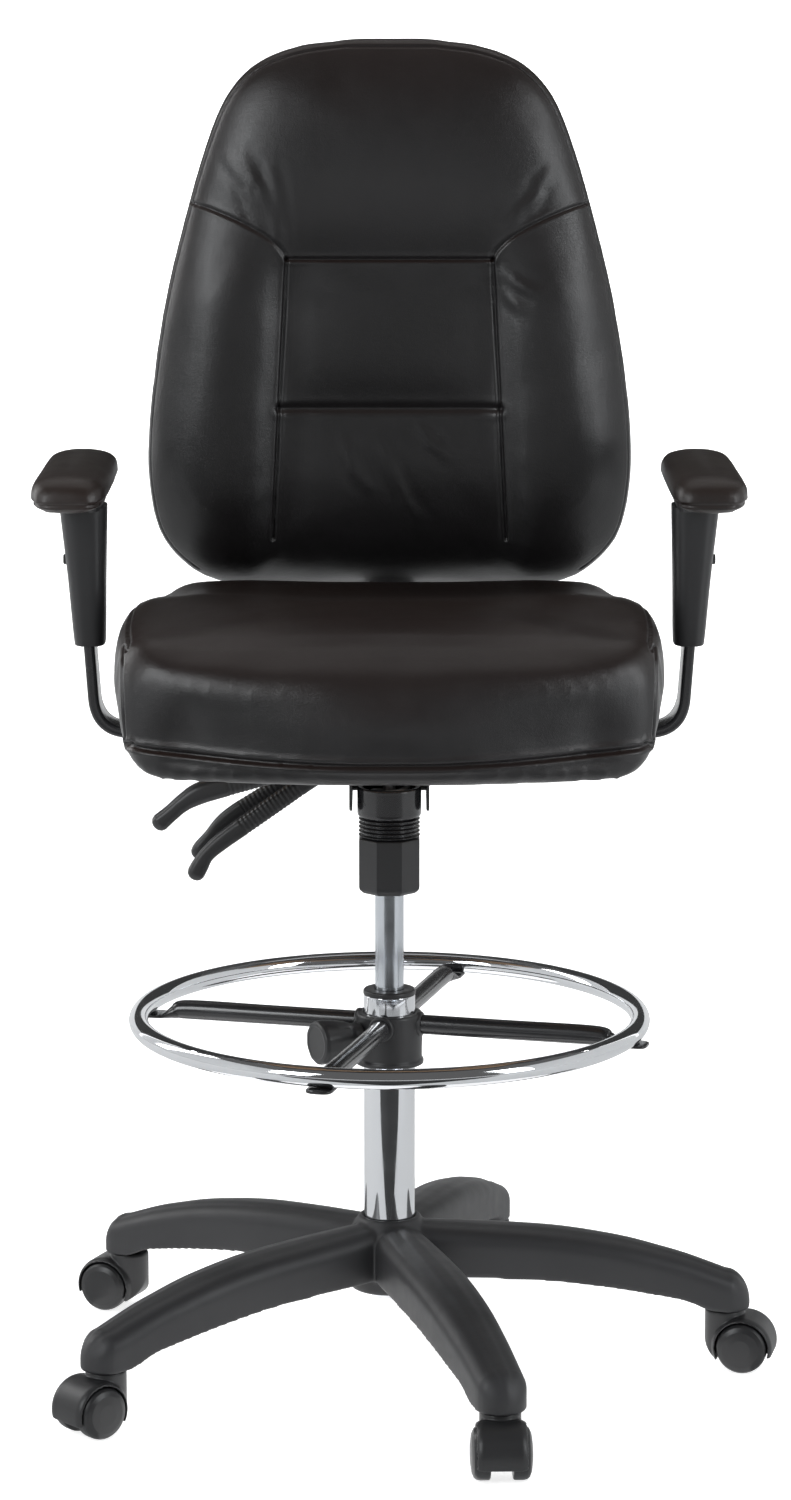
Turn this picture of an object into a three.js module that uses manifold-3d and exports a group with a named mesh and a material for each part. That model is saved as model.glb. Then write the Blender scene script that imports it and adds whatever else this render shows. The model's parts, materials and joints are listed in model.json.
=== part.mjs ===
// Drafting chair: five-arm base on twin-wheel casters, chrome gas column with an adjustable foot ring,
// tilt mechanism with levers and a tension knob, padded seat, tall padded back and T-shaped arms.
// Millimetres, +Z up. The sitter faces -Y. The floor is z = 0.
import * as THREE from 'three';
import { mergeVertices } from 'three/addons/utils/BufferGeometryUtils.js';
import Module from 'manifold-3d';

const wasm = await Module();
wasm.setup();

// ---- Driving dimensions ------------------------------------------------------------------------

const COLUMN_X = -22.8; // the casters trail to one side, so the column stands beside the box's centre
const GAP = 0.3; // clearance between pieces that touch
const ROUND = 24; // facets of the column's round pieces
const SMALL_ROUND = 12; // facets of pins, shafts and their holes

const ARM_COUNT = 5;
const SOCKET_RADIUS = 331; // centre of a caster socket, from the column
const SOCKET_HALF = 24.5; // half-round end of a base arm
const HUB_RADIUS = 39;
const HUB_BOTTOM = 82;
const HUB_TOP = 151;

const WHEEL_RADIUS = 25;
const WHEEL_FACETS = 20;
const WHEEL_INNER = 10.3; // inner face of a wheel, from the caster's middle plane
const WHEEL_OUTER = 29;
const CASTER_TRAIL = 20; // axle behind the stem
const STEM_RADIUS = 5.5;
const AXLE_RADIUS = 3;
// direction in which each caster trails, in degrees from +X, arm by arm
const TRAIL_HEADINGS = [347, 88, 157, 221, 272];

const TUBE_RADIUS = 25;
const TUBE_BORE = 23.2;
const TUBE_BOTTOM = 83;
const TUBE_FLOOR = 3; // thickness of the tube's closed lower end
const TUBE_TOP = 377.7;
const FOOT_CAP_BOTTOM = 72;
const FOOT_CAP_RADIUS = 18.5;
const BUSHING_BOTTOM = 285;
const BUSHING_BORE = 14.5;
const BUSHING_RIM_RADIUS = 25.6;
const BUSHING_RIM_HEIGHT = 5;
const CYLINDER_RADIUS = 14;
const CYLINDER_BOTTOM = 225;
const CYLINDER_TOP = 602;
const CYLINDER_TAPER = 560; // the cylinder narrows from here to its top
const CYLINDER_BORE_TOP = 500;
const ROD_RADIUS = 5;
const ROD_TOP = 372;
const PIN_RADIUS = 3.4;
const PIN_BOTTOM = 580; // floor of the pin's hole
const PIN_TOP = 607.2;

const RING_RADIUS = 244.5; // 508 mm across outside
const RING_TUBE = 9.5;
const RING_Z = 354.5;
const SPOKE_ANGLES = [-15, 75, 165, 255];
const SPOKE_Z = 349;
const RING_HUB_RADIUS = 32.5;
const RING_HUB_BOTTOM = 309;
const RING_HUB_TOP = 360;
const CLAMP_HEADING = 210;
const CLAMP_Z = 338;

const WALL_X = 38; // outer face of the mechanism's side walls
const WALL_THICK = 3;
const MECHANISM_FRONT = -100;
const MECHANISM_BACK = 110;
const MECHANISM_BOTTOM = 577;
const MECHANISM_REAR_TOP = 606;
const SPINE_HALF = 26; // the floor's narrow front part
const FLOOR_FRONT = 12; // where the floor widens to the walls
const TENSION_Y = -85;
const CUP_RADIUS = 30.4;
const CUP_BORE = 24.5;
const CUP_BOTTOM = 571.5;
const CUP_TOP = 600;
const CUP_FLOOR = 3;
const BOLT_RADIUS = 6;
const KNOB_RADIUS = 31;
const KNOB_BOTTOM = 498;
const KNOB_TOP = 551;
const TILT_Y = -52;
const TILT_Z = 612;
const SHAFT_RADIUS = 5;
const SHAFT_HOLE = 5.4;

const RECLINE_Y = 190;
const RECLINE_Z = 600;
const PLATE_BOTTOM = 640.5; // steel seat plate
const PLATE_TOP = 644.5;
const PAN_TOP = 651.5; // plywood pan
const SEAT_BOTTOM = 652;
const SEAT_LIP = 633;

const BACK_REAR = 246; // flat rear face of the back cushion
const BACK_MIDDLE = 200;
const BACK_FRONT = 150;
const BAR_Y = 269; // upright of the back bar
const BAR_THICK = 8;

const ARM_X = 301; // centre of an arm pad
const ARM_LEAN = 0.07; // outward lean of an arm's upright, per unit of height
const ARM_BAR_X = 287.5; // upright's middle at the sleeve's foot
const ARM_BAR_THICK = 10.5;
const ARM_BAR_WIDTH = 45;
const SLEEVE_BOTTOM = 723;
const SLEEVE_TOP = 857.3;
const PAD_BOTTOM = 862;
const PAD_TOP = 898;

// ---- Materials ---------------------------------------------------------------------------------

function material(color, roughness, metalness) {
  return new THREE.MeshStandardMaterial({ color, roughness, metalness });
}

const MATERIALS = {
  nylon: material(0x1b1b1d, 0.42, 0),
  plastic: material(0x161618, 0.5, 0),
  wheel: material(0x121214, 0.3, 0),
  chrome: material(0xd9dadd, 0.08, 1),
  steel: material(0x9a9ca0, 0.35, 1),
  paint: material(0x101012, 0.3, 0.2),
  leather: material(0x1d1a18, 0.38, 0),
  pad: material(0x221d19, 0.5, 0),
  board: material(0x3a3128, 0.7, 0),
};

// ---- Geometry helpers --------------------------------------------------------------------------

const radians = THREE.MathUtils.degToRad;

function signedVolume(positions, triangles) {
  const a = new THREE.Vector3();
  const b = new THREE.Vector3();
  const c = new THREE.Vector3();
  let volume = 0;
  for (let i = 0; i < triangles.length; i += 3) {
    a.fromArray(positions, 3 * triangles[i]);
    b.fromArray(positions, 3 * triangles[i + 1]);
    c.fromArray(positions, 3 * triangles[i + 2]);
    volume += a.dot(b.cross(c)) / 6;
  }
  return volume;
}

// A closed geometry as a solid: shared vertices merged, collapsed triangles dropped, faces outward.
function solid(geometry) {
  const bare = geometry.clone();
  bare.deleteAttribute('normal');
  bare.deleteAttribute('uv');
  const merged = mergeVertices(bare, 1e-4);
  const positions = merged.attributes.position.array;
  const indices = merged.index.array;
  const triangles = [];
  for (let i = 0; i < indices.length; i += 3) {
    const [a, b, c] = [indices[i], indices[i + 1], indices[i + 2]];
    if (a !== b && b !== c && a !== c) triangles.push(a, b, c);
  }
  if (signedVolume(positions, triangles) < 0) triangles.reverse();
  const triVerts = Uint32Array.from(triangles);
  const mesh = new wasm.Mesh({ numProp: 3, vertProperties: positions, triVerts });
  mesh.merge();
  return new wasm.Manifold(mesh);
}

function joined(...solids) {
  return solids.reduce((whole, piece) => whole.add(piece));
}

function cut(body, ...tools) {
  return tools.reduce((rest, tool) => rest.subtract(tool), body);
}

function shared(first, second) {
  return first.intersect(second);
}

// A body of revolution about +Z from [radius, z] points: it starts and ends on the axis, or closes.
function turned(profile, segments = ROUND) {
  const points = profile.map(([radius, z]) => new THREE.Vector2(radius, z));
  return solid(new THREE.LatheGeometry(points, segments).rotateX(Math.PI / 2));
}

// A ring-shaped body of revolution: the same, with the profile closed on itself.
function turnedRing(profile, segments = ROUND) {
  return turned([...profile, profile[0]], segments);
}

function block(x0, x1, y0, y1, z0, z1) {
  const geometry = new THREE.BoxGeometry(x1 - x0, y1 - y0, z1 - z0);
  return solid(geometry.translate((x0 + x1) / 2, (y0 + y1) / 2, (z0 + z1) / 2));
}

// A round bar between two points.
function bar(from, to, radius, segments = SMALL_ROUND) {
  const start = new THREE.Vector3(...from);
  const end = new THREE.Vector3(...to);
  const along = end.clone().sub(start);
  const geometry = new THREE.CylinderGeometry(radius, radius, along.length(), segments);
  const turn = new THREE.Quaternion().setFromUnitVectors(new THREE.Vector3(0, 1, 0), along.normalize());
  geometry.applyQuaternion(turn);
  const middle = start.add(end).multiplyScalar(0.5);
  return solid(geometry.translate(middle.x, middle.y, middle.z));
}

function placed(body, { turn = 0, x = 0, y = 0, z = 0 }) {
  return body.rotate([0, 0, turn]).translate([x, y, z]);
}

// The outer and inner bounds of a layer on one side of the middle plane, in rising order.
function sideRange(side, near, far) {
  return side > 0 ? [near, far] : [-far, -near];
}

// A flat outline in a vertical plane, extruded across it. Points are [y, z] and the depth runs along X.
function plateAcrossX(points, x0, x1) {
  const shape = new THREE.Shape(points.map(([y, z]) => new THREE.Vector2(y, z)));
  const geometry = new THREE.ExtrudeGeometry(shape, { depth: x1 - x0, bevelEnabled: false });
  geometry.applyMatrix4(new THREE.Matrix4().set(0, 0, 1, x0, 1, 0, 0, 0, 0, 1, 0, 0, 0, 0, 0, 1));
  return solid(geometry);
}

// The same for [x, z] points, with the depth along Y.
function plateAcrossY(points, y0, y1) {
  const shape = new THREE.Shape(points.map(([x, z]) => new THREE.Vector2(x, z)));
  const geometry = new THREE.ExtrudeGeometry(shape, { depth: y1 - y0, bevelEnabled: false });
  geometry.applyMatrix4(new THREE.Matrix4().set(1, 0, 0, 0, 0, 0, 1, y0, 0, 1, 0, 0, 0, 0, 0, 1));
  return solid(geometry);
}

// The same for [x, y] points, with the depth along Z.
function plateAcrossZ(points, z0, z1) {
  const shape = new THREE.Shape(points.map(([x, y]) => new THREE.Vector2(x, y)));
  const geometry = new THREE.ExtrudeGeometry(shape, { depth: z1 - z0, bevelEnabled: false });
  return solid(geometry.translate(0, 0, z0));
}

// A closed skin over rings of points. Each end is closed by strips across the ring, from its point `zip`.
function loft(rings, zip = 0) {
  const count = rings[0].length;
  const positions = rings.flat().flatMap((point) => point.toArray());
  const triangles = [];
  for (let ring = 0; ring + 1 < rings.length; ring += 1) {
    for (let i = 0; i < count; i += 1) {
      const next = (i + 1) % count;
      const [a, b] = [ring * count + i, ring * count + next];
      triangles.push(a, b, b + count, a, b + count, a + count);
    }
  }
  const last = (rings.length - 1) * count;
  for (let i = 0; i + 1 < count / 2; i += 1) {
    const [a, b] = [(zip - i + count) % count, (zip + 1 + i) % count];
    const [d, c] = [(zip - i - 1 + count) % count, (zip + 2 + i) % count];
    triangles.push(a, c, b, a, d, c);
    triangles.push(last + a, last + b, last + c, last + a, last + c, last + d);
  }
  const geometry = new THREE.BufferGeometry();
  geometry.setAttribute('position', new THREE.Float32BufferAttribute(positions, 3));
  geometry.setIndex(triangles);
  return solid(geometry);
}

// Points of a corner line with each inner corner rounded to one radius.
function roundedLine(corners, radius, steps = 5) {
  const points = corners.map(([u, v]) => new THREE.Vector2(u, v));
  const line = [points[0]];
  for (let i = 1; i + 1 < points.length; i += 1) {
    const toward = points[i - 1].clone().sub(points[i]).normalize();
    const away = points[i + 1].clone().sub(points[i]).normalize();
    const half = Math.acos(THREE.MathUtils.clamp(toward.dot(away), -1, 1)) / 2;
    const reach = radius / Math.tan(half);
    const middle = toward.clone().add(away).normalize();
    const centre = middle.multiplyScalar(radius / Math.sin(half)).add(points[i]);
    const first = toward.multiplyScalar(reach).add(points[i]).sub(centre);
    const last = away.multiplyScalar(reach).add(points[i]).sub(centre);
    const turn = (Math.PI - 2 * half) * Math.sign(first.cross(last));
    for (let step = 0; step <= steps; step += 1) {
      line.push(first.clone().rotateAround(new THREE.Vector2(), (turn * step) / steps).add(centre));
    }
  }
  line.push(points[points.length - 1]);
  return line;
}

// The outline of a strip of even thickness along a line, as [u, v] pairs.
function strip(line, thickness) {
  const sides = [[], []];
  line.forEach((point, i) => {
    const before = line[Math.max(i - 1, 0)];
    const after = line[Math.min(i + 1, line.length - 1)];
    const across = after.clone().sub(before).normalize().multiplyScalar(thickness / 2);
    sides[0].push([point.x - across.y, point.y + across.x]);
    sides[1].unshift([point.x + across.y, point.y - across.x]);
  });
  return sides.flat();
}

// A bar along 3-D stations { at: [x, y, z], wide, high }: oval sections, wide along one side direction.
function ovalBar(stations, side, segments = 10) {
  const across = new THREE.Vector3(...side);
  const centres = stations.map(({ at }) => new THREE.Vector3(...at));
  const rings = stations.map(({ wide, high }, i) => {
    const before = centres[Math.max(i - 1, 0)];
    const after = centres[Math.min(i + 1, centres.length - 1)];
    const up = after.clone().sub(before).normalize().cross(across);
    const ring = [];
    for (let k = 0; k < segments; k += 1) {
      const angle = (2 * Math.PI * (k + 0.5)) / segments;
      const point = centres[i].clone().addScaledVector(across, (wide / 2) * Math.cos(angle));
      ring.push(point.addScaledVector(up, (high / 2) * Math.sin(angle)));
    }
    return ring;
  });
  return loft(rings);
}

// A rounded rectangle as [u, v] pairs, counter-clockwise, with one corner radius.
function roundedRectangle(u0, u1, v0, v1, radius, steps = 3) {
  const points = [];
  const [left, right, low, high] = [u0 + radius, u1 - radius, v0 + radius, v1 - radius];
  const corners = [[right, low], [right, high], [left, high], [left, low]];
  corners.forEach(([u, v], corner) => {
    for (let step = 0; step <= steps; step += 1) {
      const angle = ((corner - 1) * Math.PI) / 2 + (step * Math.PI) / (2 * steps);
      points.push([u + radius * Math.cos(angle), v + radius * Math.sin(angle)]);
    }
  });
  return points;
}

// ---- The scene graph ---------------------------------------------------------------------------

const group = new THREE.Group();
const chair = new THREE.Group();
chair.position.x = COLUMN_X;
group.add(chair);

function addPart(name, body, finish) {
  const { vertProperties, triVerts } = body.getMesh();
  const geometry = new THREE.BufferGeometry();
  geometry.setAttribute('position', new THREE.Float32BufferAttribute(vertProperties, 3));
  geometry.setIndex(Array.from(triVerts));
  const mesh = new THREE.Mesh(geometry, MATERIALS[finish]);
  mesh.name = name;
  chair.add(mesh);
}

// ---- Base --------------------------------------------------------------------------------------

// Along an arm: distance from the column, top, bottom and half width.
const ARM_STATIONS = [
  [16, 150, 98, 25],
  [50, 149, 98, 27],
  [109, 146, 97, 29],
  [168, 141.5, 94, 29.5],
  [227, 132, 86, 28.5],
  [286, 116, 74, 26],
  [314, 106.5, 63, 25],
  [331, 100, 61, 24.5],
];
const ARM_SHOULDER = 14;
const ARM_TIP_DROP = 33; // how far the top falls round the half-round end
const ARM_END = ARM_STATIONS[ARM_STATIONS.length - 1];
const POCKETED = ARM_STATIONS.slice(1, 6); // the stretch of an arm that is hollow below
const POCKET_WALL = 4;
const POCKET_ROOF = 5;
const RIB_HALF = 2;
const SOCKET_TOP = 93;

function armSection(distance, top, bottom, half) {
  const shoulder = Math.min(ARM_SHOULDER, half * 0.9, (top - bottom) * 0.6);
  const profile = [[half, bottom]];
  for (const [side, start] of [[1, 0], [-1, 90]]) {
    for (const step of [0, 45, 90]) {
      const angle = radians(start + step);
      const y = side * (half - shoulder) + shoulder * Math.cos(angle);
      profile.push([y, top - shoulder + shoulder * Math.sin(angle)]);
    }
  }
  profile.push([-half, bottom]);
  return profile.map(([y, z]) => new THREE.Vector3(distance, y, z));
}

function pocketSection([distance, top, bottom, half], side) {
  const [inner, outer] = [side * RIB_HALF, side * (half - POCKET_WALL)];
  const [low, high] = [bottom - POCKET_ROOF, top - POCKET_ROOF - ARM_SHOULDER / 2];
  const corners = [[inner, low], [outer, low], [outer, high], [inner, high]];
  return corners.map(([y, z]) => new THREE.Vector3(distance, y, z));
}

function baseArm() {
  const rings = ARM_STATIONS.map((station) => armSection(...station));
  for (const angle of [30, 55, 75, 86]) {
    const fall = ARM_TIP_DROP * (1 - Math.cos(radians(angle)));
    const distance = SOCKET_RADIUS + SOCKET_HALF * Math.sin(radians(angle));
    const half = SOCKET_HALF * Math.cos(radians(angle));
    rings.push(armSection(distance, ARM_END[1] - fall, ARM_END[2], half));
  }
  const pockets = [-1, 1].map((side) => loft(POCKETED.map((station) => pocketSection(station, side))));
  const socket = bar([SOCKET_RADIUS, 0, 50], [SOCKET_RADIUS, 0, SOCKET_TOP], STEM_RADIUS + GAP);
  return cut(loft(rings), ...pockets, socket);
}

function addBase() {
  const hub = turned([
    [0, HUB_BOTTOM], [HUB_RADIUS - 2, HUB_BOTTOM], [HUB_RADIUS, HUB_BOTTOM + 3], [HUB_RADIUS + 2, 135],
    [HUB_RADIUS - 5, HUB_TOP - 2], [31, HUB_TOP + 1], [29.5, HUB_TOP + 5], [0, HUB_TOP + 5],
  ]);
  const arms = [];
  for (let i = 0; i < ARM_COUNT; i += 1) {
    arms.push(placed(baseArm(), { turn: (360 / ARM_COUNT) * i }));
  }
  const bore = bar([0, 0, 40], [0, 0, 200], TUBE_RADIUS + GAP, ROUND);
  addPart('base_star', cut(joined(hub, ...arms), bore.rotate([0, 0, 90])), 'nylon');
}

// ---- Casters -----------------------------------------------------------------------------------

const HOOD_HALF = 9.3; // half thickness of the web between the wheels
const COVER_HALF = 23;
const COVER_INNER = WHEEL_RADIUS + 1.3;
const COVER_OUTER = WHEEL_RADIUS + 5;
const COVER_LIP = -17; // how low the cover reaches on the trailing side, in degrees round the axle
const BOSS_BOTTOM = 2 * WHEEL_RADIUS + 1;
const BOSS_TOP = 60.4;
const BOSS_RADIUS = 19.5;
const STEM_BOTTOM = 30.4;
const AXLE_HALF = 22;

// Points round the axle, seen along it.
function axleArc(radius, from, to, steps) {
  const points = [];
  for (let i = 0; i <= steps; i += 1) {
    const angle = radians(from + ((to - from) * i) / steps);
    points.push([CASTER_TRAIL + radius * Math.cos(angle), WHEEL_RADIUS + radius * Math.sin(angle)]);
  }
  return points;
}

// One caster in its own frame: stem on the Z axis, trailing towards +X, wheels turning about Y.
function axleBar(from, to, radius) {
  return bar([CASTER_TRAIL, from, WHEEL_RADIUS], [CASTER_TRAIL, to, WHEEL_RADIUS], radius);
}

// The cover's rounded shape: a barrel over the wheels, and a round neck under the stem.
function coverShape() {
  const [reach, edge, crown] = [COVER_HALF, COVER_OUTER - 2.6, COVER_OUTER + 1];
  const barrel = turned([
    [0, -reach], [edge, -reach], [crown - 1.6, -reach + 5], [crown, -reach + 12],
    [crown, reach - 12], [crown - 1.6, reach - 5], [edge, reach], [0, reach],
  ], 32).rotate([90, 0, 0]).translate([CASTER_TRAIL, 0, WHEEL_RADIUS]);
  return joined(barrel, bar([0, 0, 0], [0, 0, BOSS_TOP], BOSS_RADIUS, 20));
}

function casterHood() {
  const neck = [[-BOSS_RADIUS, BOSS_BOTTOM], [-BOSS_RADIUS, 28], [-17.5, 22.5], [-12.5, 16.5], [-6, 12]];
  const outside = [...axleArc(COVER_OUTER, COVER_LIP, 100, 7), ...neck];
  const inside = axleArc(COVER_INNER, 207, COVER_LIP, 12);
  const sides = plateAcrossY([...outside, ...inside], -COVER_HALF, COVER_HALF);
  const cover = shared(sides, coverShape());
  const webOutline = [...axleArc(COVER_INNER + 1, COVER_LIP, 200, 8), ...axleArc(0.1, 200, COVER_LIP, 6)];
  const web = plateAcrossY(webOutline, -HOOD_HALF, HOOD_HALF);
  const boss = bar([0, 0, BOSS_BOTTOM], [0, 0, BOSS_TOP], BOSS_RADIUS, 20);
  const stemHole = bar([0, 0, STEM_BOTTOM - GAP], [0, 0, BOSS_TOP + 10], STEM_RADIUS + GAP);
  const axleHole = axleBar(-AXLE_HALF, AXLE_HALF, AXLE_RADIUS + GAP);
  return cut(joined(cover, web, boss), stemHole, axleHole);
}

function wheelDisc() {
  return turned([
    [0, WHEEL_INNER], [WHEEL_RADIUS, WHEEL_INNER], [WHEEL_RADIUS, WHEEL_OUTER - 9],
    [WHEEL_RADIUS - 2, WHEEL_OUTER - 4], [WHEEL_RADIUS - 9, WHEEL_OUTER - 1], [0, WHEEL_OUTER],
  ], WHEEL_FACETS);
}

// The wheel on side 1 carries the axle, and the wheel on side -1 has a hole for it.
function casterWheel(side) {
  const wheel = wheelDisc().rotate([side * 90, 0, 0]).translate([CASTER_TRAIL, 0, WHEEL_RADIUS]);
  if (side > 0) return joined(wheel, axleBar(-AXLE_HALF, AXLE_HALF, AXLE_RADIUS));
  return cut(wheel, axleBar(0, AXLE_HALF + 0.5, AXLE_RADIUS + GAP));
}

function addCasters() {
  for (let i = 0; i < ARM_COUNT; i += 1) {
    const heading = radians((360 / ARM_COUNT) * i);
    const [x, y] = [SOCKET_RADIUS * Math.cos(heading), SOCKET_RADIUS * Math.sin(heading)];
    const place = { turn: TRAIL_HEADINGS[i], x, y };
    const stem = bar([0, 0, STEM_BOTTOM], [0, 0, SOCKET_TOP - 0.5], STEM_RADIUS);
    const number = i + 1;
    addPart(`caster_stem_${number}`, placed(stem, place), 'steel');
    addPart(`caster_hood_${number}`, placed(casterHood(), place), 'plastic');
    addPart(`caster_wheel_left_${number}`, placed(casterWheel(1), place), 'wheel');
    addPart(`caster_wheel_right_${number}`, placed(casterWheel(-1), place), 'wheel');
  }
}

// ---- Column and gas lift -----------------------------------------------------------------------

function addColumn() {
  const rodHole = ROD_RADIUS + 1.4;
  addPart('outer_tube', turnedRing([
    [rodHole, TUBE_BOTTOM], [TUBE_RADIUS - 0.6, TUBE_BOTTOM], [TUBE_RADIUS, HUB_TOP], [TUBE_RADIUS, TUBE_TOP],
    [TUBE_BORE, TUBE_TOP], [TUBE_BORE, TUBE_BOTTOM + TUBE_FLOOR], [rodHole, TUBE_BOTTOM + TUBE_FLOOR],
  ]), 'chrome');
  addPart('tube_foot_cap', turned([
    [0, FOOT_CAP_BOTTOM], [FOOT_CAP_RADIUS - 1.5, FOOT_CAP_BOTTOM], [FOOT_CAP_RADIUS, FOOT_CAP_BOTTOM + 1.5],
    [FOOT_CAP_RADIUS, TUBE_BOTTOM - GAP], [0, TUBE_BOTTOM - GAP],
  ]), 'chrome');

  const rim = TUBE_TOP + GAP;
  const rimTop = rim + BUSHING_RIM_HEIGHT;
  addPart('tube_bushing', turnedRing([
    [BUSHING_BORE, BUSHING_BOTTOM], [TUBE_BORE - 0.4, BUSHING_BOTTOM], [TUBE_BORE - 0.4, rim],
    [BUSHING_RIM_RADIUS, rim], [BUSHING_RIM_RADIUS, rimTop - 1], [BUSHING_RIM_RADIUS - 1, rimTop],
    [BUSHING_BORE, rimTop],
  ]), 'plastic');
  addPart('piston_rod', turned([
    [0, TUBE_BOTTOM + GAP], [ROD_RADIUS, TUBE_BOTTOM + GAP], [ROD_RADIUS, ROD_TOP - 1],
    [ROD_RADIUS - 1, ROD_TOP], [0, ROD_TOP],
  ]), 'steel');

  const [bearingFoot, bearingTop] = [TUBE_BOTTOM + TUBE_FLOOR + 0.5, TUBE_BOTTOM + TUBE_FLOOR + 6];
  const bearingBore = ROD_RADIUS + 0.4;
  addPart('thrust_bearing', turnedRing([
    [bearingBore, bearingFoot], [12, bearingFoot], [12, bearingTop], [bearingBore, bearingTop],
  ]), 'steel');

  const bore = ROD_RADIUS + 0.6;
  const pinHole = PIN_RADIUS + 0.6;
  addPart('gas_cylinder', turned([
    [0, CYLINDER_BORE_TOP], [bore, CYLINDER_BORE_TOP - 3], [bore, CYLINDER_BOTTOM],
    [CYLINDER_RADIUS - 1, CYLINDER_BOTTOM], [CYLINDER_RADIUS, CYLINDER_BOTTOM + 1],
    [CYLINDER_RADIUS, CYLINDER_TAPER], [CYLINDER_RADIUS - 0.8, CYLINDER_TOP],
    [pinHole, CYLINDER_TOP], [pinHole, PIN_BOTTOM], [0, PIN_BOTTOM],
  ]), 'chrome');
  addPart('release_pin', bar([0, 0, PIN_BOTTOM + 10], [0, 0, PIN_TOP], PIN_RADIUS), 'steel');
}

// ---- Foot ring ---------------------------------------------------------------------------------

const CLAMP_HOLE = 5.4;
const SPOKE_TUBE = 19; // a spoke's diameter
const SPOKE_FLAT = 4.6; // thickness of its flattened end under the ring

function ringHub() {
  const [low, high, radius] = [RING_HUB_BOTTOM, RING_HUB_TOP, RING_HUB_RADIUS];
  const bore = TUBE_RADIUS + 0.6;
  const sleeve = turnedRing([
    [bore, low], [radius + 1, low], [radius + 1, low + 4], [radius - 1, low + 7],
    [radius, high - 2], [radius - 1.5, high], [bore, high],
  ]);
  const clampHole = bar([TUBE_RADIUS - 5, 0, CLAMP_Z], [radius + 15, 0, CLAMP_Z], CLAMP_HOLE);
  return cut(sleeve, placed(clampHole, { turn: CLAMP_HEADING }));
}

function ringSpoke() {
  const flatZ = RING_Z - RING_TUBE - GAP - SPOKE_FLAT / 2;
  return ovalBar([
    { at: [RING_HUB_RADIUS + 0.7, 0, SPOKE_Z], wide: SPOKE_TUBE, high: SPOKE_TUBE },
    { at: [200, 0, SPOKE_Z], wide: SPOKE_TUBE, high: SPOKE_TUBE },
    { at: [218, 0, SPOKE_Z - 2], wide: 20.5, high: 14 },
    { at: [230, 0, flatZ], wide: 25, high: SPOKE_FLAT },
    { at: [252, 0, flatZ], wide: 26, high: SPOKE_FLAT },
    { at: [257, 0, flatZ], wide: 17, high: SPOKE_FLAT },
  ], [0, 1, 0], 14);
}

function clampKnob() {
  const [foot, neck, face] = [TUBE_RADIUS + 1.2, RING_HUB_RADIUS + 2, 82];
  const knob = turned([
    [0, foot], [5, foot], [5, neck], [15, neck], [15, 44], [20.5, 66], [22, face - 4], [20.5, face],
    [0, face],
  ], 16);
  return placed(knob.rotate([0, 90, 0]), { turn: CLAMP_HEADING, z: CLAMP_Z });
}

function addFootRing() {
  addPart('ring_hub', ringHub(), 'plastic');
  const ring = solid(new THREE.TorusGeometry(RING_RADIUS, RING_TUBE, 8, 48));
  addPart('foot_ring', ring.translate([0, 0, RING_Z]), 'chrome');
  SPOKE_ANGLES.forEach((angle, i) => {
    addPart(`ring_spoke_${i + 1}`, placed(ringSpoke(), { turn: angle }), 'paint');
  });
  addPart('ring_clamp_knob', clampKnob(), 'plastic');
}

// ---- Tilt mechanism ----------------------------------------------------------------------------

// Each lever: its place along Y, the height of its window in the side wall, and its run outward as
// [x, z, width, thickness].
const LEVERS = {
  lever_height: {
    y: 0,
    window: [598, 621],
    run: [
      [3, 610.8, 9, 6.6], [-20, 611, 11, 7], [-38, 609, 12, 8], [-66, 605, 18, 13], [-120, 594, 23, 19],
      [-169, 581, 24, 20.5], [-186, 575.5, 24, 20.5], [-200, 567, 22, 17], [-211, 557.5, 21, 16],
      [-222, 548, 20, 17.5], [-228, 542, 12, 9],
    ],
  },
  lever_back: {
    y: 34,
    window: [588, 618],
    run: [
      [-22, 604, 10, 7], [-38, 602, 12, 8], [-58, 593, 15, 13], [-80, 581.5, 18, 17], [-101.6, 566.7, 18, 18],
      [-138, 541, 18, 18], [-163, 523, 18, 17], [-178, 509.5, 17, 15], [-185, 498.5, 18, 17],
      [-189, 491, 18, 17], [-193, 484, 11, 9],
    ],
  },
  lever_tilt: {
    y: 64,
    window: [586, 612],
    run: [
      [-22, 600, 10, 7], [-38, 599, 12, 8], [-70, 592, 15, 14], [-100, 577, 18, 17.5], [-125, 561, 18, 18],
      [-150, 545, 18, 18], [-164, 534, 18, 17], [-175.5, 520.5, 17, 15.5], [-184, 510.5, 18, 16.5],
      [-188.5, 504.5, 17, 15], [-192, 499, 10, 8],
    ],
  },
};
const WINDOW_HALF = 9;

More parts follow.
